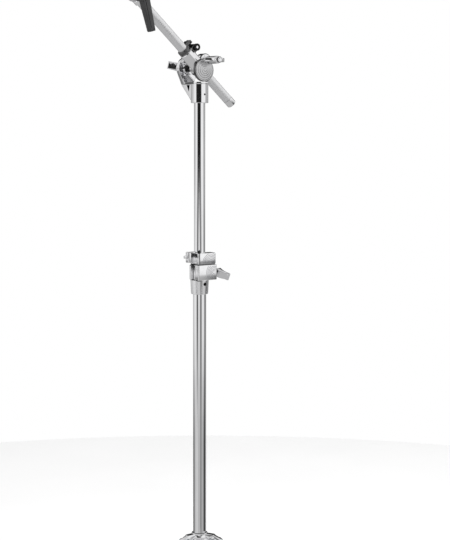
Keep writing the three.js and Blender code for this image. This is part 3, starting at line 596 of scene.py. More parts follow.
class STAND_OT_height_clamp(bpy.types.Operator):
    """Height clamp: block, barrel and fluted sleeve, with its relief, set screw, bushing and shoe"""

    bl_idname = "stand.height_clamp"
    bl_label = "Height clamp"

    def execute(self, context):
        low, high = span("clamp_body")
        bottom, top, right, barrel = CLAMP_BLOCK_LOW, high.z, high.x, -low.x
        block = softened(prism(rounded_rectangle(CLAMP_LEFT, right, CLAMP_FRONT, CLAMP_BACK, 2.4), bottom,
                               top), 1.2, 3)
        rear = softened(prism(rounded_rectangle(0, right - 0.2, -15, high.y - 10.9, 3), bottom + 0.2,
                              top - 0.2), 1.2)
        round_back = behind_face(cylinder(barrel, bottom + 0.4, top - 0.4, None, 1.5))
        sleeve = turned([(0, low.z), (18.2, low.z), (19.5, low.z + 1.3), (21, bottom), (17, bottom + 1),
                         (0, bottom + 1)])
        body = join(block, rear, round_back, sleeve)
        tools = [cylinder(LOWER_BORE, low.z - 5, top - 9), cylinder(UPPER_BORE, low.z - 5, top + 5),
                 moved(along_x(cylinder(5.4, 0, right + 5, 48)), z=clamp_screw_z()),
                 moved(along_y(cylinder(4, -30, 0, 48)), z=set_screw_z()),
                 box(CLAMP_LEFT - 1, CLAMP_LEFT + 3.2, 0.2, 1.7, bottom - 1, top + 1),
                 box(CLAMP_LEFT - 1, CLAMP_LEFT + 1.4, CLAMP_FRONT + 1.5, 1.7, bottom - 1, bottom + 1.1)]
        for turn in SLEEVE_FLUTES:
            flute = moved(along_x(softened(box(-9, 7, -0.9, 0.9, 17.6, 23), 0.3)), z=low.z + 10)
            tools.append(spun(flute, turn))
        add("height_clamp_casting", softened(cut(body, *tools), 0.35, 2, 50), "cast", "base",
            ["clamp_body"])
        self.relief(bottom, top, right)
        self.painted_gap_shadows(bottom, top, right)
        ring_low, ring_high = span("clamp_bushing")
        bushing = turned([(13.1, ring_low.z), (15, ring_low.z), (15, ring_high.z), (13.1, ring_high.z),
                          (13.1, ring_low.z)])
        add("clamp_bushing_ring", bushing, "nylon", "base", ["clamp_bushing"])
        shoe_low, shoe_high = span("clamp_shoe")
        shoe = along_x(cylinder(shoe_high.y, shoe_low.x, shoe_high.x, 32, 0.5))
        add("clamp_pressing_shoe", moved(shoe, z=clamp_screw_z()), "nylon", "base", ["clamp_shoe"])
        screw_low, screw_high = span("clamp_set_screw")
        set_screw = socket_head(screw_high.x, 0, screw_high.y - screw_low.y, 2)
        set_screw.transform(Matrix.Translation((0, screw_high.y,
                                                set_screw_z())) @ Matrix.Rotation(math.pi / 2, 4, "X"))
        add("clamp_set_screw_black", set_screw, "black", "base", ["clamp_set_screw"])
        return {"FINISHED"}

    def painted_gap_shadows(self, bottom, top, right):
        """Painted shadow in black nylon: a washer-shaped plate in the gap under the memory lock and thin
        plates in the block's parting lines, where there is only shadow.
        """
        outline = rounded_rectangle(CLAMP_LEFT + 0.7, right - 4, CLAMP_FRONT + 0.7, CLAMP_BACK, 2)
        # Black plate in the gap under the memory lock: painted shadow.
        washer = join(prism(outline, top + 0.1, top + 1.9),
                      behind_face(cylinder(20.4, top + 0.1, top + 1.9)))
        washer = cut(washer, cylinder(UPPER_BORE, top - 5, top + 5))
        add("lock_gap_painted_shadow", washer, "nylon", "base")
        # Black plates in the parting lines and under the block: painted shadow.
        parting_shadow_plates = join(box(CLAMP_LEFT - 0.1, CLAMP_LEFT + 3, 0.3, 1.6, bottom + 0.3, top - 0.3),
                     box(CLAMP_LEFT + 0.3, 2, CLAMP_FRONT + 1, CLAMP_BACK, bottom - 1.5, bottom - 0.1))
        add("clamp_parting_painted_shadow", cut(parting_shadow_plates, cylinder(LOWER_BORE, 900, 1200)), "nylon", "base")

    def relief(self, bottom, top, right):
        pitch = bpy.context.scene.stand_sizes.ring_pitch
        middle = (bottom + top) / 2
        window = (CLAMP_LEFT + 3, right - 2, bottom + 2.5, top - 2.5)
        arcs = relief_arcs((right - 9, middle), [pitch * i for i in range(1, 7)], window, 60, 300)
        arcs.transform(Matrix.Translation((0, CLAMP_FRONT, 0)) @ Matrix.Rotation(math.pi / 2, 4, "X"))
        add("height_clamp_arcs", arcs, "steel", "base")
        panel = framed_panel(8.5, 20, 1.1)
        panel.transform(Matrix.Translation((CLAMP_LEFT, CLAMP_FRONT / 2 - 1.5,
                                            middle)) @ Matrix.Rotation(-math.pi / 2, 4, "Y"))
        add("height_clamp_panel", panel, "cast", "base")


def behind_face(mesh):
    """The part of a clamp's round barrel that stands behind its square block."""
    return cut(mesh, box(-60, 60, -60, 1.7, 900, 1200))


def framed_panel(width, height, line):
    """A raised rounded frame on a flat face: Z out of the face, X up it."""
    outer = prism(rounded_rectangle(-height / 2, height / 2, -width / 2, width / 2, 3), -0.2, 0.6)
    inner = rounded_rectangle(-height / 2 + line, height / 2 - line, -width / 2 + line, width / 2 - line, 2)
    return softened(cut(outer, prism(inner, -1, 1)), 0.2)


def clamp_screw_z():
    return JOINTS["clamp_screw_turn"]["pos_m"][2] / MM


def set_screw_z():
    low, high = span("clamp_set_screw")
    return (low.z + high.z) / 2


BOOM_BORE = 11.1
UPPER_BORE = 13.1
LOWER_BORE = 15.4
CLAMP_LEFT = -16.8
CLAMP_FRONT = -20.0
CLAMP_BACK = 3.7
CLAMP_BLOCK_LOW = 1021.8
SLEEVE_FLUTES = (214, 246, 290, 150, 100, 50, 340)


class STAND_OT_memory_lock(bpy.types.Operator):
    """Memory lock on the upper tube: split block, ear, key screw and pin"""

    bl_idname = "stand.memory_lock"
    bl_label = "Memory lock"

    def execute(self, context):
        low, high = span("memory_lock_body")
        top = high.z - 2.2
        right = high.x
        block = softened(prism(rounded_rectangle(CLAMP_LEFT, right, CLAMP_FRONT, CLAMP_BACK, 2.4), low.z,
                               top), 1.2, 3)
        ring = behind_face(cylinder(21, low.z + 0.3, top - 0.3, None, 1.4))
        ear_low = low.z + 3.4
        ear = softened(prism(rounded_rectangle(low.x, 0, -2, 12, 4), ear_low, high.z), 1.6, 3)
        screw_low, screw_high = span("memory_lock_screw")
        screw_z = (screw_low.z + screw_high.z) / 2
        screw_y = (screw_low.y + screw_high.y) / 2
        pin_low, pin_high = span("memory_lock_pin")
        pin_x = (pin_low.x + pin_high.x) / 2
        pin_y = (pin_low.y + pin_high.y) / 2
        tools = [cylinder(UPPER_BORE, low.z - 5, top + 9),
                 box(pin_x - 0.9, pin_x + 0.9, -30, -2, low.z - 5, top + 9),
                 box(pin_x, pin_x + 6, -6, -2, low.z - 5, top + 9),
                 moved(cylinder(2.3, top - 18, top + 5, 32), pin_x, pin_y),
                 moved(along_x(cylinder(3.4, low.x - 5, 0, 32)), 0, screw_y, screw_z)]
        body = cut(join(block, ring, ear), *tools)
        add("memory_lock_casting", softened(body, 0.3, 2, 50), "cast", "memory_lock", ["memory_lock_body"])
        pitch = context.scene.stand_sizes.ring_pitch
        window = (CLAMP_LEFT + 7, right - 2, low.z + 2, top - 2)
        arcs = relief_arcs((right - 14, low.z), [pitch * i for i in range(1, 8)], window, 10, 170)
        arcs.transform(Matrix.Translation((0, CLAMP_FRONT, 0)) @ Matrix.Rotation(math.pi / 2, 4, "X"))
        add("memory_lock_arcs", arcs, "steel", "memory_lock")
        pin = turned([(0, pin_low.z), (2, pin_low.z), (2, top + 0.4), (3.2, top + 0.4), (3.6, top + 0.9),
                      (3.6, pin_high.z - 1.6), (2.8, pin_high.z - 0.5), (0, pin_high.z)], 32)
        add("memory_lock_pin_head", moved(pin, pin_x, pin_y), "black", "memory_lock", ["memory_lock_pin"])
        key = along_x(square_key(3, screw_low.x + 7, screw_high.x, 4.4))
        add("memory_lock_key_screw", moved(key, 0, screw_y, screw_z), "chrome", "memory_lock",
            ["memory_lock_screw"])
        return {"FINISHED"}


class STAND_OT_post_head(bpy.types.Operator):
    """Post head: socket, shelf, web and the round cheek that carries the tilt axle"""

    bl_idname = "stand.post_head"
    bl_label = "Post head"

    def execute(self, context):
        tilt = JOINTS["boom_tilt"]["pos_m"][2] / MM
        low, high = span("post_head")
        bottom, radius, far = low.z, -low.y, high.y
        socket = turned([(0, bottom), (radius - 1, bottom), (radius, bottom + 1), (radius, tilt - 36),
                         (0, tilt - 36)])
        outline = arc(0, 0, radius, 180, 360, 40) + [(CHEEK_FOOT, far), (-CHEEK_FOOT, far)]
        shelf = softened(prism(outline, tilt - SHELF_LOW, tilt - SHELF_HIGH), 1.0, 2, 50)
        cheek = softened(upright(self.cheek_outline(high.x), far - CHEEK_NEAR), 1.4, 3, 50)
        cheek = moved(cheek, y=(far + CHEEK_NEAR) / 2, z=tilt)
        boss = moved(along_y(cylinder(15, CHEEK_NEAR - 4, CHEEK_NEAR + 1, 64, 0.8)), z=tilt)
        web = moved(self.web(radius, far), z=tilt)
        slope = -math.atan2(BOOM_UP.z, -BOOM_UP.x)
        relief = along_x(cylinder(11.7, 0, 100, 64))
        relief.transform(Matrix.Translation((0, 0, tilt)) @ Matrix.Rotation(-slope, 4, "Y"))
        tools = [cylinder(UPPER_BORE, bottom - 5, tilt - 41), relief,
                 moved(along_y(cylinder(5.4, 20, 80, 32)), z=tilt),
                 moved(spun(upright([(27, -53), (33, -37.5), (21, -37.5)], 26), 90), -10, 0, tilt),
                 moved(along_y(cylinder(2.3, -30, 0, 32)), z=bottom + 19)]
        body = cut(join(socket, shelf, cheek, boss, web), *tools)
        add("post_head_casting", softened(body, 0.4, 2, 50), "chrome", "post", ["post_head"])
        # A band of darkened plating along the shelf's front edge: painted dark reflection.
        rim = [(-radius - 0.2, -4), (-radius - 0.2, 1), (-CHEEK_FOOT - 3.6, CHEEK_NEAR - 9),
               (-CHEEK_FOOT, CHEEK_NEAR - 9),
               (-radius + 3, -4)]
        band = prism(rim, tilt - SHELF_LOW + 0.4, tilt - SHELF_HIGH)
        add("shelf_edge_painted_shade", softened(band, 0.4), "painted_shade_chrome", "post")
        pin_low, pin_high = span("post_head_pin")
        pin = moved(along_y(cylinder(2, pin_low.y, pin_high.y, 24, 0.4)), z=bottom + 19)
        add("post_head_roll_pin", pin, "black", "post", ["post_head_pin"])
        return {"FINISHED"}

    def cheek_outline(self, radius):
        start = (CHEEK_FOOT, -SHELF_LOW)
        return [start] + arc(0, 0, radius, -20, 200, 60) + [(-CHEEK_FOOT, -SHELF_LOW)]

    def web(self, radius, far):
        side = [(8, -78), (radius - 1, -78), (far, -SHELF_LOW - 2), (far, -SHELF_HIGH - 2),
                (8, -SHELF_HIGH - 2)]
        front = [(-7, -78), (7, -78), (CHEEK_FOOT, -SHELF_HIGH - 2), (-CHEEK_FOOT, -SHELF_HIGH - 2)]
        sideways = spun(upright(side, 60), 90)
        return softened(common(sideways, upright(front, 160)), 1.6, 3)


BOOM_UP = Vector(JOINTS["boom_slide"]["axis"])
CHEEK_FOOT = 13.0
CHEEK_NEAR = 42.0
SHELF_LOW = 36.5
SHELF_HIGH = 31.0


class STAND_OT_boom_clamp(bpy.types.Operator):
    """Boom clamp with its stepped cap, axle, spring, nut and pinch screw, and the ring on the boom"""

    bl_idname = "stand.boom_clamp"
    bl_label = "Boom clamp"

    def execute(self, context):
        place = boom_frame()
        lock_b = lock_height(place)
        pinch_low, pinch_high = span("boom_pinch_screw", place)
        pinch_a = (pinch_low.x + pinch_high.x) / 2
        pinch_b = (pinch_low.z + pinch_high.z) / 2
        low, high = span("boom_clamp", place)
        cap_a, cap_b, cap_radius, cap_back, cap_front = cap_place(place)
        front = cap_back - 0.3
        barrel = along_y(cylinder(17, low.y, front, None, 1))
        lug = moved(along_y(cylinder(15.5, low.y, LOCK_SEAT, 64, 1.4)), z=lock_b)
        sleeve = along_x(cylinder(15.5, 0, high.x, None, 1.2))
        cap_room = moved(along_y(cylinder(cap_radius + 0.3, front, 40)), cap_a, 0, cap_b)
        hub_room = moved(along_y(cylinder(9, LOCK_SEAT, 60, 64)), z=lock_b)
        web = softened(box(pinch_a - 7.5, pinch_a + 7.5, -11, 11, 0, pinch_b), 1.2)
        ear = moved(along_y(cylinder(7.5, -11, 11, 48, 1.2)), pinch_a, 0, pinch_b)
        bore = along_x(cylinder(BOOM_BORE, -60, 80))
        tools = [bore, cap_room, hub_room, box(-40, 80, -1, 1, 0, 60),
                 moved(along_y(cylinder(4.3, -40, 40, 32)), z=lock_b),
                 moved(along_y(cylinder(3.3, -40, 40, 32)), pinch_a, 0, pinch_b)]
        # The pinch ear in the same plating darkened: painted shade and painted dark reflection.
        lugs = cut(join(web, ear), *[tool.copy() for tool in tools], along_x(cylinder(15.5, 0, high.x + 1)))
        add("boom_clamp_ear", softened(lugs, 0.35, 2, 50), "painted_shade_chrome", "boom_clamp", (), place)
        body = cut(join(barrel, lug, sleeve), *tools)
        add("boom_clamp_casting", softened(body, 0.35, 2, 50), "chrome", "boom_clamp", ["boom_clamp"],
            place)
        self.cap(place, lock_b)
        self.axle(place)
        screw = socket_head(8, 0, 5.4, 3.6)
        shank = cylinder(3, -22, 0.5, 32)
        screw = along_y(join(screw, shank))
        moved(screw, pinch_a, 11.2, pinch_b)
        add("boom_pinch_screw_head", screw, "black", "boom_clamp", ["boom_pinch_screw"], place)
        centre = moved(along_y(cylinder(3.4, 13.2, 15.8, 32, 0.6)), pinch_a, 0, pinch_b)
        add("boom_pinch_screw_plug", centre, "chrome", "boom_clamp", (), place)
        self.ring(place)
        return {"FINISHED"}

    def cap(self, place, lock_b):
        """The round cap: shallow stepped rings inside a plain rim, notched for the boom lock screw."""
        cap_a, cap_b, radius, back, front = cap_place(place)
        rim = front - 3.5
        rise = (front - rim) / CAP_STEPS
        profile = [(0, back), (radius - 1.5, back), (radius - 1.5, rim)]
        for i in range(CAP_STEPS):
            edge = radius - 2.6 - i * 4.6
            profile += [(edge, rim + i * rise), (edge - 0.9, rim + (i + 0.8) * rise),
                        (edge - 1.5, rim + (i + 1) * rise)]
        profile += [(0, front)]
        dome = moved(along_y(turned(profile, 128)), cap_a, 0, cap_b)
        notch = moved(along_y(cylinder(9.7, 0, 60, 64)), z=lock_b)
        add("boom_cap_rings", cut(dome, notch.copy()), "brushed", "boom_clamp", ["boom_clamp_cap"], place,
            24)
        # The cap's rim in darkened plating: a painted dark outline of shade round the cap.
        edge = turned([(radius - 1.4, back), (radius - 0.8, back), (radius, back + 0.8),
                       (radius, rim - 0.9),
                       (radius - 0.6, rim + 0.1), (radius - 1.4, rim + 0.2), (radius - 1.4, back)], 128)
        edge = cut(moved(along_y(edge), cap_a, 0, cap_b), notch)
        add("boom_cap_edge", edge, "painted_shade_chrome", "boom_clamp", (), place, 24)
        # A ring of darkened plating at the lock lug's front edge: painted shade.
        edge = turned([(13.9, LOCK_SEAT - 3), (15.6, LOCK_SEAT - 3), (15.6, LOCK_SEAT - 1),
                       (14.8, LOCK_SEAT + 0.1),
                       (13.9, LOCK_SEAT + 0.2), (13.9, LOCK_SEAT - 3)], 96)
        edge = cut(moved(along_y(edge), z=lock_b), along_y(cylinder(18, -60, 60)))
        add("boom_lock_lug_edge", edge, "painted_shade_chrome", "boom_clamp", (), place, 24)

    def axle(self, place):
        low, high = span("tilt_axle", place)
        axle = turned([(0, low.y), (4.4, low.y), (5, low.y + 0.8), (5, high.y - 3), (9.3, high.y - 3),
                       (10, high.y - 2.4), (10, high.y), (0, high.y)], 48)
        add("tilt_axle_bolt", along_y(axle), "steel", "boom_clamp", ["tilt_axle"], place)
        low, high = span("tilt_spring", place)
        turns = 6
        pitch = (high.y - low.y) / turns
        profile = [(5.5, low.y)]
        for i in range(turns):
            start = low.y + i * pitch
            profile += [(6.3, start), (high.x, start + pitch * 0.3), (high.x, start + pitch * 0.7),
                        (6.3, start + pitch)]
        profile += [(5.5, high.y), (5.5, low.y)]
        add("tilt_spring_coils", along_y(turned(profile, 48)), "black", "boom_clamp", ["tilt_spring"],
            place)
        low, high = span("boom_lock_nut", place)
        nut = softened(turned([(4.35, low.y), (7.6, low.y), (7.6, high.y), (4.35, high.y), (4.35, low.y)],
                              6), 0.4)
        nut = moved(along_y(nut), 0, 0, (low.z + high.z) / 2)
        add("boom_lock_hex_nut", nut, "steel", "boom_clamp", ["boom_lock_nut"], place)

    def ring(self, place):
        low, high = span("boom_ring", place)
        band = along_x(cylinder(14.5, low.x, high.x, None, 0.8))
        ear = softened(box(low.x + 0.2, high.x - 0.2, -12.5, 2.5, 0, high.z), 1.4, 3)
        screw_low, screw_high = span("boom_ring_screw", place)
        middle = (screw_low.x + screw_high.x) / 2
        height = (screw_low.z + screw_high.z) / 2
        tools = [along_x(cylinder(BOOM_BORE, 0, 90)), box(0, 90, -8, -6, 0, 60),
                 moved(along_y(cylinder(2.4, -40, 40, 24)), middle, 0, height)]
        body = softened(cut(join(band, ear), *tools), 0.3, 2, 50)
        # The boom ring's plating darkened: painted shade and painted dark reflection on chrome.
        add("boom_ring_casting", body, "painted_shade_chrome", "boom_ring", ["boom_ring"], place)
        key = along_y(square_key(2, screw_low.y + 7, screw_high.y, 3.5))
        add("boom_ring_key_screw", moved(key, middle, 0, height), "black", "boom_ring", ["boom_ring_screw"],
            place)


def boom_degrees():
    return math.degrees(math.atan2(BOOM_UP.z, -BOOM_UP.x))


def cap_place(place):
    """The cap's centre along and across the boom, its radius, and its back and front faces."""
    low, high = span("boom_clamp_cap", place)
    radius = (high.x - low.x) / 2
    return (low.x + high.x) / 2, low.z + radius, radius, low.y, high.y


LOCK_SEAT = 2.5
CAP_STEPS = 5


def lock_height(place):
    """Distance of the boom lock screw from the boom's axis."""
    low, high = span("boom_lock_nut", place)
    return (low.z + high.z) / 2


class STAND_OT_wing_screws(bpy.types.Operator):
    """Wing screws and wing nuts of the clamps, the tilt, the leg hub and the cymbal rod"""

    bl_idname = "stand.wing_screws"
    bl_label = "Wing screws"

    def execute(self, context):
        self.boom_lock()
        self.tilt_nut()
        self.clamp_screw()
        self.hub_screw()
        self.cymbal_nut()
        return {"FINISHED"}

    def boom_lock(self):
        place = boom_frame()
        low, high = span("boom_lock_screw", place)
        tip = high.y
        seat = LOCK_SEAT + 0.3
        profile = [(0, low.y), (4, low.y), (4, seat), (8, seat), (8.7, seat + 0.8), (8.7, tip - 14),
                   (8.3, tip - 9),
                   (7, tip - 6), (6.5, tip - 5.5), (6.5, tip - 1), (5.8, tip - 0.2), (4.6, tip),
                   (4.2, tip - 1),
                   (3, tip - 1.2), (2.6, tip - 0.4), (0, tip - 0.2)]
        handle = wing_handle(profile, (5, 29, tip - 23.5, tip - 9.5, -10, 7), 9, 2.4)
        handle = cut(handle, moved(along_x(cylinder(1.7, -20, 20, 24)), z=seat + 15))
        handle = spun(handle, boom_degrees())
        handle = moved(along_y(handle), z=lock_height(place))
        add("boom_lock_wing_screw", handle, "chrome", "boom_lock", ["boom_lock_screw"], place)
        # A collar of darkened plating at the screw's tip: painted shade.
        collar = turned([(6.4, tip - 5), (6.8, tip - 5), (6.8, tip - 1.2), (6.1, tip - 0.3),
                         (5.7, tip - 0.3), (6.4, tip - 1.2),
                         (6.4, tip - 5)], 64)
        collar = moved(along_y(collar), z=lock_height(place))
        add("boom_lock_screw_collar", collar, "painted_shade_chrome", "boom_lock", (), place)

    def tilt_nut(self):
        low, high = span("tilt_wing_nut")
        start = low.y
        profile = [(5.35, start), (8.3, start), (9, start + 0.7), (9, start + 3), (7.5, start + 5),
                   (7.5, start + 16),
                   (6.6, start + 18), (0, start + 19), (0, start + 14), (5.35, start + 14), (5.35, start)]
        solid = [(0, start)] + profile[1:8] + [(0, start + 19)]
        handle = wing_handle(solid, (5, 37, start + 5, start + 17, 9, 8), 17, 3.4)
        handle = cut(handle, cylinder(5.35, start - 5, start + 14, 32))
        handle = along_y(spun(handle, 15))
        tilt = JOINTS["boom_tilt"]["pos_m"][2] / MM
        add("tilt_wing_nut_cast", moved(handle, z=tilt), "chrome", "tilt_nut", ["tilt_wing_nut"])

    def clamp_screw(self):
        low, high = span("clamp_wing_screw")
        face = span("clamp_body")[1].x + 0.3
        profile = [(0, low.x), (5, low.x), (5, face), (8.2, face), (8.7, face + 0.6), (8.7, face + 7),
                   (7.6, face + 9),
                   (7.2, face + 21), (6, face + 22.6), (0, face + 23)]
        handle = wing_handle(profile, (6, 30, face + 9, face + 22, 11, 8), 18, 3.4)
        handle = along_x(spun(handle, 118))
        add("clamp_wing_screw_cast", moved(handle, z=clamp_screw_z()), "chrome", "clamp_screw",
            ["clamp_wing_screw"])

    def hub_screw(self):
        axis = Vector(JOINTS["hub_screw_turn"]["axis"])
        origin = Vector((0, 0, JOINTS["hub_screw_turn"]["pos_m"][2]))
        across = Vector((0, 0, 1)).cross(axis)
        place = basis(across.cross(axis), across, axis, origin)
        low, high = span("leg_hub_screw", place)
        face = 31
        profile = [(0, low.z), (4, low.z), (4, face), (7.4, face), (8, face + 0.6), (8, face + 6),
                   (7, face + 8),
                   (6.5, face + 23), (5.5, face + 24.4), (0, face + 25)]
        handle = wing_handle(profile, (5, 27, face + 8, face + 20, 10, 6), 9, 2.0)
        add("leg_hub_wing_screw", handle, "chrome", "hub_screw", ["leg_hub_screw"], place)

    def cymbal_nut(self):
        place = rod_frame()
        low, high = span("cymbal_wing_nut", place)
        start = low.z
        profile = [(0, start), (8.3, start), (9, start + 0.7), (9, start + 3), (7, start + 5),
                   (6.5, start + 17.2),
                   (5.6, start + 18), (0, start + 18)]
        handle = wing_handle(profile, (5, 25, start + 5, start + 15, 10, 6), 8, 1.8)
        handle = cut(handle, cylinder(4.35, start - 5, start + 40, 32))
        handle = moved(handle, 0, (low.y + high.y) / 2)
        add("cymbal_wing_nut_cast", handle, "chrome", "cymbal_nut", ["cymbal_wing_nut"], place)


class STAND_OT_boom(bpy.types.Operator):
    """Boom tube with its marks and end cap, the tilter's socket and bolt, and the lever with its grip"""

    bl_idname = "stand.boom"
    bl_label = "Boom"

    def execute(self, context):
        place = boom_frame()
        low, high = span("boom_tube", place)
        radius = high.z
        groove = 107
        profile = [(radius - 1.4, low.x), (radius - 0.3, low.x), (radius, low.x + 0.3),
                   (radius, groove - 0.6),
                   (radius - 0.35, groove - 0.3), (radius - 0.35, groove + 0.3), (radius, groove + 0.6),
                   (radius, high.x - 0.3), (radius - 0.3, high.x), (radius - 1.4, high.x),
                   (radius - 1.4, low.x)]
        add("boom_tube_satin", along_x(turned(profile, 128)), "satin", "boom", ["boom_tube"], place)
        self.graduations(place, radius, groove)
        tail = low.x
        low, high = span("boom_end_cap", place)
        cap = turned([(0, low.x), (radius - 2.4, low.x), (radius - 0.7, low.x + 0.7), (radius, low.x + 2.2),
                      (radius, tail - 0.3), (8.9, tail - 0.3), (8.9, high.x), (0, high.x)])
        add("boom_end_cap_bright", along_x(cap), "chrome", "boom", ["boom_end_cap"], place)
        self.socket(place)
        self.lever(place)
        return {"FINISHED"}

    def graduations(self, place, radius, groove):
        """Short plain marks every five millimetres on the boom, without figures."""
        marks = bmesh.new()
        for i in range(9):
            reach = 26 if i % 2 == 0 else 14
            a = groove + 6 + 5 * i
            x0, x1 = a - 0.25, a + 0.25
            steps = 8
            rows = []
            for k in range(steps + 1):
                t = math.radians(MARK_TURN - reach / 2 + reach * k / steps)
                corners = [(x0, radius - 0.1), (x1, radius - 0.1), (x1, radius + 0.04), (x0, radius + 0.04)]
                rows.append([marks.verts.new((x, r * math.cos(t), r * math.sin(t))) for x, r in corners])
            for one, two in zip(rows, rows[1:]):
                for m in range(4):
                    n = (m + 1) % 4
                    marks.faces.new([one[m], one[n], two[n], two[m]])
            marks.faces.new(rows[0])
            marks.faces.new(rows[-1])
        add("boom_graduations", mesh_of(marks), "black", "boom", (), place)

    def socket(self, place):
        low, high = span("tilter_socket", place)
        pivot = (Vector(JOINTS["tilter_tilt"]["pos_m"]) - place.translation).length / MM
        cup = along_x(cylinder(13.4, low.x, low.x + 11, None, 1))
        ear = moved(along_y(cylinder(14, -11.3, -0.3, 96, 0.8)), pivot)
        neck = softened(box(low.x + 7, pivot, -11.3, -0.3, -10, 10), 1)
        tools = [along_x(cylinder(BOOM_BORE, low.x - 5, low.x + 7.3)),
                 moved(along_y(cylinder(14.6, -0.3, 20, 96)), pivot),
                 moved(along_y(cylinder(4.4, -30, 30, 32)), pivot)]
        body = cut(join(cup, ear, neck), *tools)
        add("tilter_socket_cast", softened(body, 0.3, 2, 50), "cast", "boom", ["tilter_socket"], place)
        low, high = span("tilter_bolt", place)
        bolt = turned([(0, low.y), (4, low.y + 0.2), (6.3, low.y + 2.4), (6.5, low.y + 4.5),
                       (4, low.y + 4.5),
                       (4, high.y), (0, high.y)], 48)
        add("tilter_pivot_bolt", moved(along_y(bolt), pivot), "steel", "boom", ["tilter_bolt"], place)

    def lever(self, place):
        low, high = span("tilter_lever", place)
        pivot = (Vector(JOINTS["tilter_tilt"]["pos_m"]) - place.translation).length / MM
        hub = turned([(0, low.y), (14, low.y), (15.5, low.y + 1.5), (15.5, 36.5), (14.4, 39.1), (12, 40.5),
                      (0, 40.5)], 64)
        grip = self.grip()
        body = cut(join(along_y(hub), grip), along_y(cylinder(4.4, 0, low.y + 10, 32)))
        body = moved(spun(body, boom_degrees() + LEVER_LEAN, "Y"), pivot)
        add("tilter_lever_grip", body, "grip", "tilter_lever", ["tilter_lever"], place, 50)

    def grip(self):
        """The tapered grip: a rounded square section that runs down Z and closes in a round tip."""
        shape = bmesh.new()
        rows = []
        for below_tip in (82, 68, 54, 40, 26, 12, 3, 1.6, 0.6, 0):
            level = GRIP_LENGTH - below_tip
            t = level / GRIP_LENGTH
            close = 1 - 0.08 * max(0, 1 - below_tip / 3) ** 2
            wide = (20.5 + (14.6 - 20.5) * t) * close / 2
            deep = (18.5 + (14 - 18.5) * t) * close / 2
            row = []
            for k in range(40):
                angle = 2 * math.pi * k / 40
                x, y = math.cos(angle), math.sin(angle)
                reach = (abs(x) ** 7 + abs(y) ** 7) ** (-1 / 7)
                row.append(shape.verts.new((x * reach * wide, y * reach * deep, -level)))
            rows.append(row)
        for a, b in zip(rows, rows[1:]):
            for k in range(40):
                m = (k + 1) % 40
                shape.faces.new([a[k], a[m], b[m], b[k]])
        shape.faces.new(rows[0])
        shape.faces.new(rows[-1])
        body = moved(mesh_of(shape), y=GRIP_SIDE)
        groove = box(2.4, 3.8, GRIP_SIDE + 6.4, GRIP_SIDE + 18, -74, -6)
        return cut(body, groove)


MARK_TURN = -15
LEVER_LEAN = 15.2
GRIP_LENGTH = 82.0
GRIP_SIDE = 33.2


class STAND_OT_tilter(bpy.types.Operator):
    """Tilter head with the cymbal rod, cup washer, felts and sleeve"""

    bl_idname = "stand.tilter"
    bl_label = "Tilter and cymbal seat"

    def execute(self, context):
        place = rod_frame()
        plate = along_y(cylinder(14, 0.3, 11.3, 96, 0.8))
        neck = moved(turned([(0, 6), (7, 6), (7, 24), (6, 25), (0, 25)], 64), y=5.5)
        tools = [moved(cylinder(4.4, 16.7, 40, 32), y=5.5), along_y(cylinder(4.4, -5, 30, 32)),
                 box(-30, 30, -20, 0.3, -30, 15.2)]
        body = cut(join(plate, neck), *tools)
        add("tilter_body_cast", softened(body, 0.3, 2, 50), "cast", "tilter", ["tilter_body"], place)
        low, high = span("cymbal_rod", place)
        centre = (low.y + high.y) / 2
        profile = [(0, low.z), (3.4, low.z), (4, low.z + 0.6), (4, high.z - 40)]
        for i in range(30):
            z = high.z - 40 + i * 1.25
            profile += [(4, z + 0.2), (3.45, z + 0.75)]
        profile += [(3.6, high.z - 1), (2.8, high.z), (0, high.z)]
        add("cymbal_rod_threaded", moved(turned(profile, 40), y=centre), "steel", "tilter", ["cymbal_rod"],
            place)
        self.seat(place, centre)
        return {"FINISHED"}

    def seat(self, place, centre):
        low, high = span("cup_washer", place)
        bottom, top, radius = low.z, high.z, high.x
        cup = turned([(4.4, bottom), (9, bottom), (12.5, bottom + 1.6), (17, bottom + 4.4),
                      (radius, bottom + 7.2),
                      (radius, top), (radius - 1, top), (radius - 2.8, top - 1.6), (12, top - 2),
                      (4.4, top - 2),
                      (4.4, bottom)])
        add("cup_washer_bright", moved(cup, y=centre), "chrome", "tilter", ["cup_washer"], place)
        for name in ("felt_lower", "felt_upper"):
            low, high = span(name, place)
            soft = 1.8
            edge = high.x
            profile = [(6.4, low.z + 0.5), (6.9, low.z), (edge - soft, low.z)]
            profile += arc(edge - soft, low.z + soft, soft, -80, 0, 4)
            profile += arc(edge - soft, high.z - soft, soft, 0, 80, 4)
            profile += [(edge - soft, high.z), (6.9, high.z), (6.4, high.z - 0.5), (6.4, low.z + 0.5)]
            felt = add(f"{name}_washer", moved(turned(profile, 96), y=centre), "felt", "tilter", [name],
                       place, 60)
        low, high = span("cymbal_sleeve", place)
        sleeve = turned([(4.4, low.z), (6, low.z), (6, high.z), (4.4, high.z), (4.4, low.z)], 48)
        add("cymbal_sleeve_nylon", moved(sleeve, y=centre), "nylon", "tilter", ["cymbal_sleeve"], place)


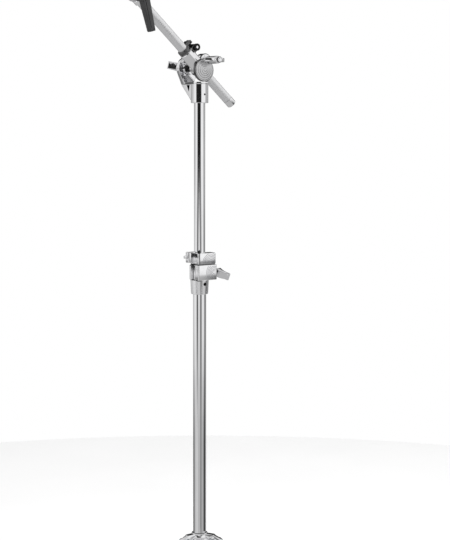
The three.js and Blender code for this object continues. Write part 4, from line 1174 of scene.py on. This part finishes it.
class STAND_OT_tripod(bpy.types.Operator):
    """Leg hub, brace hub, legs, braces and feet"""

    bl_idname = "stand.tripod"
    bl_label = "Tripod"

    def execute(self, context):
        self.leg_hub()
        self.brace_hub()
        for number in range(1, LEG_COUNT + 1):
            self.leg(number)
            self.brace(number)
            self.foot(number)
        return {"FINISHED"}

    def azimuths(self):
        angles = []
        for number in range(1, LEG_COUNT + 1):
            pivot = JOINTS[f"leg_{number}_fold"]["pos_m"]
            angles.append(math.degrees(math.atan2(pivot[1], pivot[0])))
        return angles

    def leg_hub(self):
        low, high = span("leg_hub")
        pivot = JOINTS["leg_1_fold"]["pos_m"]
        pivot_z = pivot[2] / MM
        body = turned([(0, low.z), (22, low.z), (24, low.z + 2), (24, 419), (22.6, 421.5), (19.4, 424),
                       (18.6, 426),
                       (18.6, high.z - 1.2), (17.4, high.z), (0, high.z)])
        outline = [(0, -10.5)] + arc(HUB_PIVOT, 0, 10.5, -90, 40, 20) + [(38, 14), (35, 16.5), (26, 17),
                                                                         (0, 17)]
        lugs = [spun(moved(softened(upright(outline, 13.4), 1.2, 3), z=pivot_z),
                     a) for a in self.azimuths()]
        screw_z = JOINTS["hub_screw_turn"]["pos_m"][2] / MM
        axis = JOINTS["hub_screw_turn"]["axis"]
        screw_turn = math.degrees(math.atan2(axis[1], axis[0]))
        boss = spun(moved(along_x(cylinder(10, 0, 30.7, 48, 1)), z=screw_z), screw_turn)
        tools = [cylinder(LOWER_BORE, low.z - 5, high.z + 5), cylinder(17, high.z - 9.2, high.z + 5),
                 spun(moved(along_x(cylinder(4.5, 10, 40, 32)), z=screw_z), screw_turn)]
        tools += [spun(moved(along_y(cylinder(4.4, -15, 15, 32)), HUB_PIVOT, 0, pivot_z), a)
                  for a in self.azimuths()]
        tools += [spun(moved(cylinder(3, 420, 440, 32), 33), a) for a in self.azimuths()]
        body = softened(cut(join(body, boss, *lugs), *tools), 0.35, 2, 50)
        add("leg_hub_casting", body, "chrome", "leg_hub", ["leg_hub"])
        top = high.z
        # A black ring at the top of the hub's bore: painted shadow where the bore lies in shade.
        collar = turned([(15.4, top - 9), (16.9, top - 9), (16.9, top + 0.4), (15.4, top + 0.4),
                         (15.4, top - 9)])
        add("leg_hub_bore_painted_shadow", collar, "nylon", "leg_hub")

    def brace_hub(self):
        low, high = span("brace_hub")
        middle = JOINTS["brace_1_fold"]["pos_m"][2] / MM
        body = cylinder(20, low.z, high.z, None, 1.2)
        lugs = [spun(moved(softened(upright(stadium(0, HUB_PIVOT, 8), 15), 1, 3), z=middle), a)
                for a in self.azimuths()]
        tools = [cylinder(LOWER_BORE, low.z - 5, high.z + 5),
                 moved(along_x(cylinder(2.8, 10, 30, 24)), z=middle)]
        for a in self.azimuths():
            tools.append(spun(box(27, HUB_PIVOT + 12, -2.8, 2.8, middle - 20, middle + 20), a))
            tools.append(spun(moved(along_y(cylinder(3.35, -15, 15, 24)), HUB_PIVOT, 0, middle), a))
        body = softened(cut(join(body, *lugs), *tools), 0.35, 2, 50)
        add("brace_hub_casting", body, "cast", "base", ["brace_hub"])
        low, high = span("brace_hub_screw")
        screw = turned([(0, low.x), (2.5, low.x), (2.5, 20.3), (4.6, 20.3), (5, 20.8), (4.4, 22.6),
                        (3, 23.4),
                        (0, 23.6)], 40)
        slot = box(-0.5, 0.5, -6, 6, 22.6, 24)
        add("brace_hub_screw_head", moved(along_x(cut(screw, slot)), z=middle), "steel", "base",
            ["brace_hub_screw"])

    def rivet(self, x, side, seat):
        head = turned([(0, seat - 1), (6.5, seat - 1), (6.5, seat + 0.8), (5.8, seat + 1.7),
                       (3.6, seat + 2.3),
                       (0, seat + 2.4)], 40)
        head = along_y(head)
        if side < 0:
            head = spun(head, 180, "X")
        return moved(head, x)

    def leg(self, number):
        place = leg_frame(number, f"leg_{number}_fold", True)
        bar = softened(upright(stadium(0, 545, 9, 24), 3), 0.7, 3)
        parts = [moved(bar.copy(), y=8.5), moved(along_y(cylinder(4, -10, 10, 40)))]
        parts += [self.rivet(x, side, 10) for x in (0, 250) for side in (-1, 1)]
        parts.append(box(530, 565, -7.4, 7.4, -7, 7))
        body = join(moved(bar, y=-8.5), *parts)
        add(f"leg_{number}_bars", body, "chrome", f"leg_{number}", [f"leg_{number}"], place)

    def brace(self, number):
        place = leg_frame(number, f"brace_{number}_fold", False)
        bar = softened(upright(stadium(0, 250, 7.5, 24), 5), 0.8, 3)
        pin = along_y(cylinder(3, -9, 9, 32, 0.5))
        boss = moved(along_y(cylinder(6, -6.7, 6.7, 40, 0.5)), 250)
        add(f"brace_{number}_bar", join(bar, pin, boss), "chrome", f"brace_{number}", [f"brace_{number}"],
            place)

    def foot(self, number):
        place = leg_frame(number, f"leg_{number}_fold", True)
        low, high = span(f"foot_{number}", place)
        shoe = softened(upright(rounded_rectangle(528, 592, -15, 15, 6, 8), 30), 2.4, 3, 50)
        tools = [box(520, 554.3, -10.3, 10.3, -9.3, 9.3), box(520, 565.3, -7.8, 7.8, -7.3, 7.3)]
        for i in range(4):
            x = 536 + 9 * i
            for z0, z1 in ((13.8, 20), (-20, -13.8)):
                tools.append(box(x, x + 3, -20, 20, z0, z1))
        shoe = cut(shoe, *tools)
        ground = box(-900, 900, -900, 900, -200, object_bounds()[0].z / MM)
        ground.transform(place.inverted() @ Matrix.Diagonal((MM, MM, MM, 1)))
        ground.transform(Matrix.Diagonal((1 / MM, 1 / MM, 1 / MM, 1)))
        add(f"foot_{number}_rubber", softened(cut(shoe, ground), 0.5, 2, 60), "rubber", f"leg_{number}",
            [f"foot_{number}"], place)


HUB_PIVOT = 46.0


# ------------------------------------------------------------------ studio

class STAND_OT_studio(bpy.types.Operator):
    """Pale floor, soft light all round and the camera"""

    bl_idname = "stand.studio"
    bl_label = "Studio"

    def execute(self, context):
        self.floor()
        self.surroundings(context.scene)
        self.lights()
        self.camera(context.scene)
        context.scene.view_settings.view_transform = "Standard"
        return {"FINISHED"}

    def floor(self):
        shape = bmesh.new()
        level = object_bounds()[0].z - 0.0005
        ring = [shape.verts.new((FLOOR_RADIUS * math.cos(t), FLOOR_RADIUS * math.sin(t), level))
                for t in [2 * math.pi * i / 96 for i in range(96)]]
        shape.faces.new(ring)
        floor = bpy.data.objects.new("studio_floor", mesh_of(shape))
        bpy.context.scene.collection.objects.link(floor)
        material, tree, shader, place = start_material("pale_floor", (0.86, 0.86, 0.86), 0.0, 0.6)
        tree.links.new(tinted(tree, noise(tree, place, 3), (0.85, 0.85, 0.85), (0.88, 0.88, 0.88)),
                       shader.inputs["Base Color"])
        shader.inputs["Emission Color"].default_value = (1, 1, 1, 1)
        shader.inputs["Emission Strength"].default_value = 0.3
        floor.data.materials.append(material)
        floor.visible_glossy = False
        floor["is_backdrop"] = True

    def surroundings(self, scene):
        """A white studio whose reflections hold the dark gaps between the soft boxes."""
        world = bpy.data.worlds.new("white_studio")
        scene.world = world
        world.use_nodes = True
        tree = world.node_tree
        background = tree.nodes["Background"]
        camera_turn = scene.stand_sizes.camera_azimuth
        place = tree.nodes.new("ShaderNodeTexCoord")
        mapping = tree.nodes.new("ShaderNodeMapping")
        mapping.vector_type = "POINT"
        mapping.inputs["Rotation"].default_value = (0, 0, -camera_turn)
        tree.links.new(place.outputs["Generated"], mapping.inputs["Vector"])
        split = tree.nodes.new("ShaderNodeSeparateXYZ")
        tree.links.new(mapping.outputs["Vector"], split.inputs["Vector"])
        around = tree.nodes.new("ShaderNodeMath")
        around.operation = "ARCTAN2"
        back = tree.nodes.new("ShaderNodeMath")
        back.operation = "MULTIPLY"
        back.inputs[1].default_value = -1
        tree.links.new(split.outputs["Y"], back.inputs[0])
        link_all(tree, (split.outputs["X"], around.inputs[0]), (back.outputs[0], around.inputs[1]))
        turn = tree.nodes.new("ShaderNodeMapRange")
        turn.inputs["From Min"].default_value = -math.pi
        turn.inputs["From Max"].default_value = math.pi
        tree.links.new(around.outputs[0], turn.inputs["Value"])
        level = self.strips(tree, turn.outputs["Result"], LEVEL_STRIPS)
        low = self.strips(tree, turn.outputs["Result"], LOW_STRIPS)
        ground = self.strips(tree, turn.outputs["Result"], GROUND_STRIPS)
        lower = self.fade(tree, split.outputs["Z"], -0.02, -0.09, level, low)
        lowest = self.fade(tree, split.outputs["Z"], -0.13, -0.23, lower, ground)
        deepest = self.fade(tree, split.outputs["Z"], -0.35, -0.6, lowest, None, 0.5)
        raised = self.fade(tree, split.outputs["Z"], 0.06, 0.16, deepest,
                           self.strips(tree, turn.outputs["Result"], RAISED_STRIPS))
        upper = self.fade(tree, split.outputs["Z"], 0.55, 0.8, raised, None, 0.6)
        seen = tree.nodes.new("ShaderNodeLightPath")
        choose = tree.nodes.new("ShaderNodeMix")
        choose.data_type = "RGBA"
        choose.inputs[7].default_value = (1, 1, 1, 1)
        link_all(tree, (seen.outputs["Is Camera Ray"], choose.inputs["Factor"]), (upper, choose.inputs[6]),
                 (choose.outputs[2], background.inputs["Color"]))

    def strips(self, tree, value, stops):
        """A ramp round the horizon from (degrees, brightness) stops; 0 degrees is the camera's side."""
        ramp = tree.nodes.new("ShaderNodeValToRGB")
        elements = ramp.color_ramp.elements
        while len(elements) > 1:
            elements.remove(elements[-1])
        for i, (degrees, bright) in enumerate(stops):
            position = (degrees + 180) / 360
            element = elements[0] if i == 0 else elements.new(position)
            element.position = position
            element.color = (bright, bright, bright, 1)
        tree.links.new(value, ramp.inputs["Fac"])
        return ramp.outputs["Color"]

    def fade(self, tree, height, start, end, first, second, plain=0.9):
        """Goes from the first colour to the second one between two heights of the sky."""
        amount = tree.nodes.new("ShaderNodeMapRange")
        amount.interpolation_type = "SMOOTHSTEP"
        amount.inputs["From Min"].default_value = start
        amount.inputs["From Max"].default_value = end
        mix = tree.nodes.new("ShaderNodeMix")
        mix.data_type = "RGBA"
        mix.inputs[7].default_value = (plain, plain, plain, 1)
        link_all(tree, (height, amount.inputs["Value"]), (amount.outputs["Result"], mix.inputs["Factor"]),
                 (first, mix.inputs[6]))
        if second:
            tree.links.new(second, mix.inputs[7])
        return mix.outputs[2]

    def lights(self):
        for name, place, power, size in STUDIO_LIGHTS:
            data = bpy.data.lights.new(name, "AREA")
            data.energy = power
            data.size = size
            lamp = bpy.data.objects.new(name, data)
            bpy.context.scene.collection.objects.link(lamp)
            lamp.location = place
            lamp.rotation_euler = (Vector((0, 0, 0.9)) - Vector(place)).to_track_quat("-Z", "Y").to_euler()
            lamp.visible_glossy = False

    def camera(self, scene):
        sizes = scene.stand_sizes
        data = bpy.data.cameras.new("studio_camera")
        data.lens = sizes.lens
        data.clip_end = 100
        camera = bpy.data.objects.new("studio_camera", data)
        scene.collection.objects.link(camera)
        turn = sizes.camera_azimuth
        camera.location = (math.sin(turn) * sizes.camera_distance, -math.cos(turn) * sizes.camera_distance,
                           sizes.camera_height)
        aim = Matrix.Rotation(turn - AIM_RIGHT, 4, "Z") @ Matrix.Rotation(math.pi / 2 - AIM_DOWN, 4, "X")
        camera.rotation_euler = (aim @ Matrix.Rotation(AIM_ROLL, 4, "Z")).to_euler()
        scene.camera = camera


FLOOR_RADIUS = 3.0
AIM_RIGHT = math.radians(1.045)
AIM_DOWN = math.radians(5.9)
AIM_ROLL = math.radians(0.108)
STUDIO_LIGHTS = (
    ("soft_top", (0.6, -0.8, 3.6), 60, 3.0),
    ("soft_left", (-2.8, -1.6, 1.6), 30, 2.4),
    ("soft_right", (2.4, -2.2, 1.8), 25, 2.4),
)
LEVEL_STRIPS = ((-180, 0.3), (-140, 0.4), (-100, 0.62), (-62, 0.98), (-50, 0.95), (-41, 0.02), (19, 0.01),
                (28, 0.95), (76, 0.95), (88, 0.45), (130, 0.45), (180, 0.3))
LOW_STRIPS = ((-180, 0.4), (-140, 0.55), (-104, 0.78), (-76, 0.95), (-54, 0.6), (-44, 0.04), (-34, 0.06),
              (-22, 0.7), (-4, 0.98), (8, 0.3), (30, 0.16), (44, 0.85), (76, 0.92), (92, 0.3), (124, 0.25),
              (180, 0.4))
RAISED_STRIPS = ((-180, 0.03), (-150, 0.03), (-138, 0.8), (-46, 0.95), (-36, 0.03), (14, 0.02), (24, 0.95),
                 (138, 0.9),
                 (150, 0.03), (180, 0.03))
GROUND_STRIPS = ((-180, 0.3), (-140, 0.2), (-104, 0.24), (-80, 0.6), (-40, 0.7), (-20, 0.5), (0, 0.55),
                 (12, 0.3),
                 (30, 0.28), (44, 0.5), (70, 0.4), (84, 0.04), (106, 0.03), (122, 0.3), (180, 0.35))


# ------------------------------------------------------------------ panel and registration

OPERATORS = (
    STAND_OT_tubes,
    STAND_OT_tripod,
    STAND_OT_height_clamp,
    STAND_OT_memory_lock,
    STAND_OT_post_head,
    STAND_OT_boom_clamp,
    STAND_OT_boom,
    STAND_OT_tilter,
    STAND_OT_wing_screws,
    STAND_OT_studio,
)


class STAND_PT_panel(bpy.types.Panel):
    """Lists the stand's pieces in the sidebar"""

    bl_label = "Cymbal boom stand"
    bl_idname = "STAND_PT_panel"
    bl_space_type = "VIEW_3D"
    bl_region_type = "UI"
    bl_category = "Stand"

    def draw(self, context):
        for each in OPERATORS:
            self.layout.operator(each.bl_idname)
        for holder in (context.scene.stand_sizes, context.scene.stand_finishes):
            for name in holder.bl_rna.properties.keys():
                if name not in ("rna_type", "name"):
                    self.layout.prop(holder, name)


CLASSES = (StandSizes, StandFinishes, *OPERATORS, STAND_PT_panel)


def register():
    for each in CLASSES:
        bpy.utils.register_class(each)
    bpy.types.Scene.stand_sizes = PointerProperty(type=StandSizes)
    bpy.types.Scene.stand_finishes = PointerProperty(type=StandFinishes)


def unregister():
    del bpy.types.Scene.stand_finishes
    del bpy.types.Scene.stand_sizes
    for each in reversed(CLASSES):
        bpy.utils.unregister_class(each)


def main():
    register()
    bpy.ops.stand.tubes()
    bpy.ops.stand.tripod()
    bpy.ops.stand.height_clamp()
    bpy.ops.stand.memory_lock()
    bpy.ops.stand.post_head()
    bpy.ops.stand.boom_clamp()
    bpy.ops.stand.boom()
    bpy.ops.stand.tilter()
    bpy.ops.stand.wing_screws()
    bpy.ops.stand.studio()


if __name__ == "__main__":
    main()
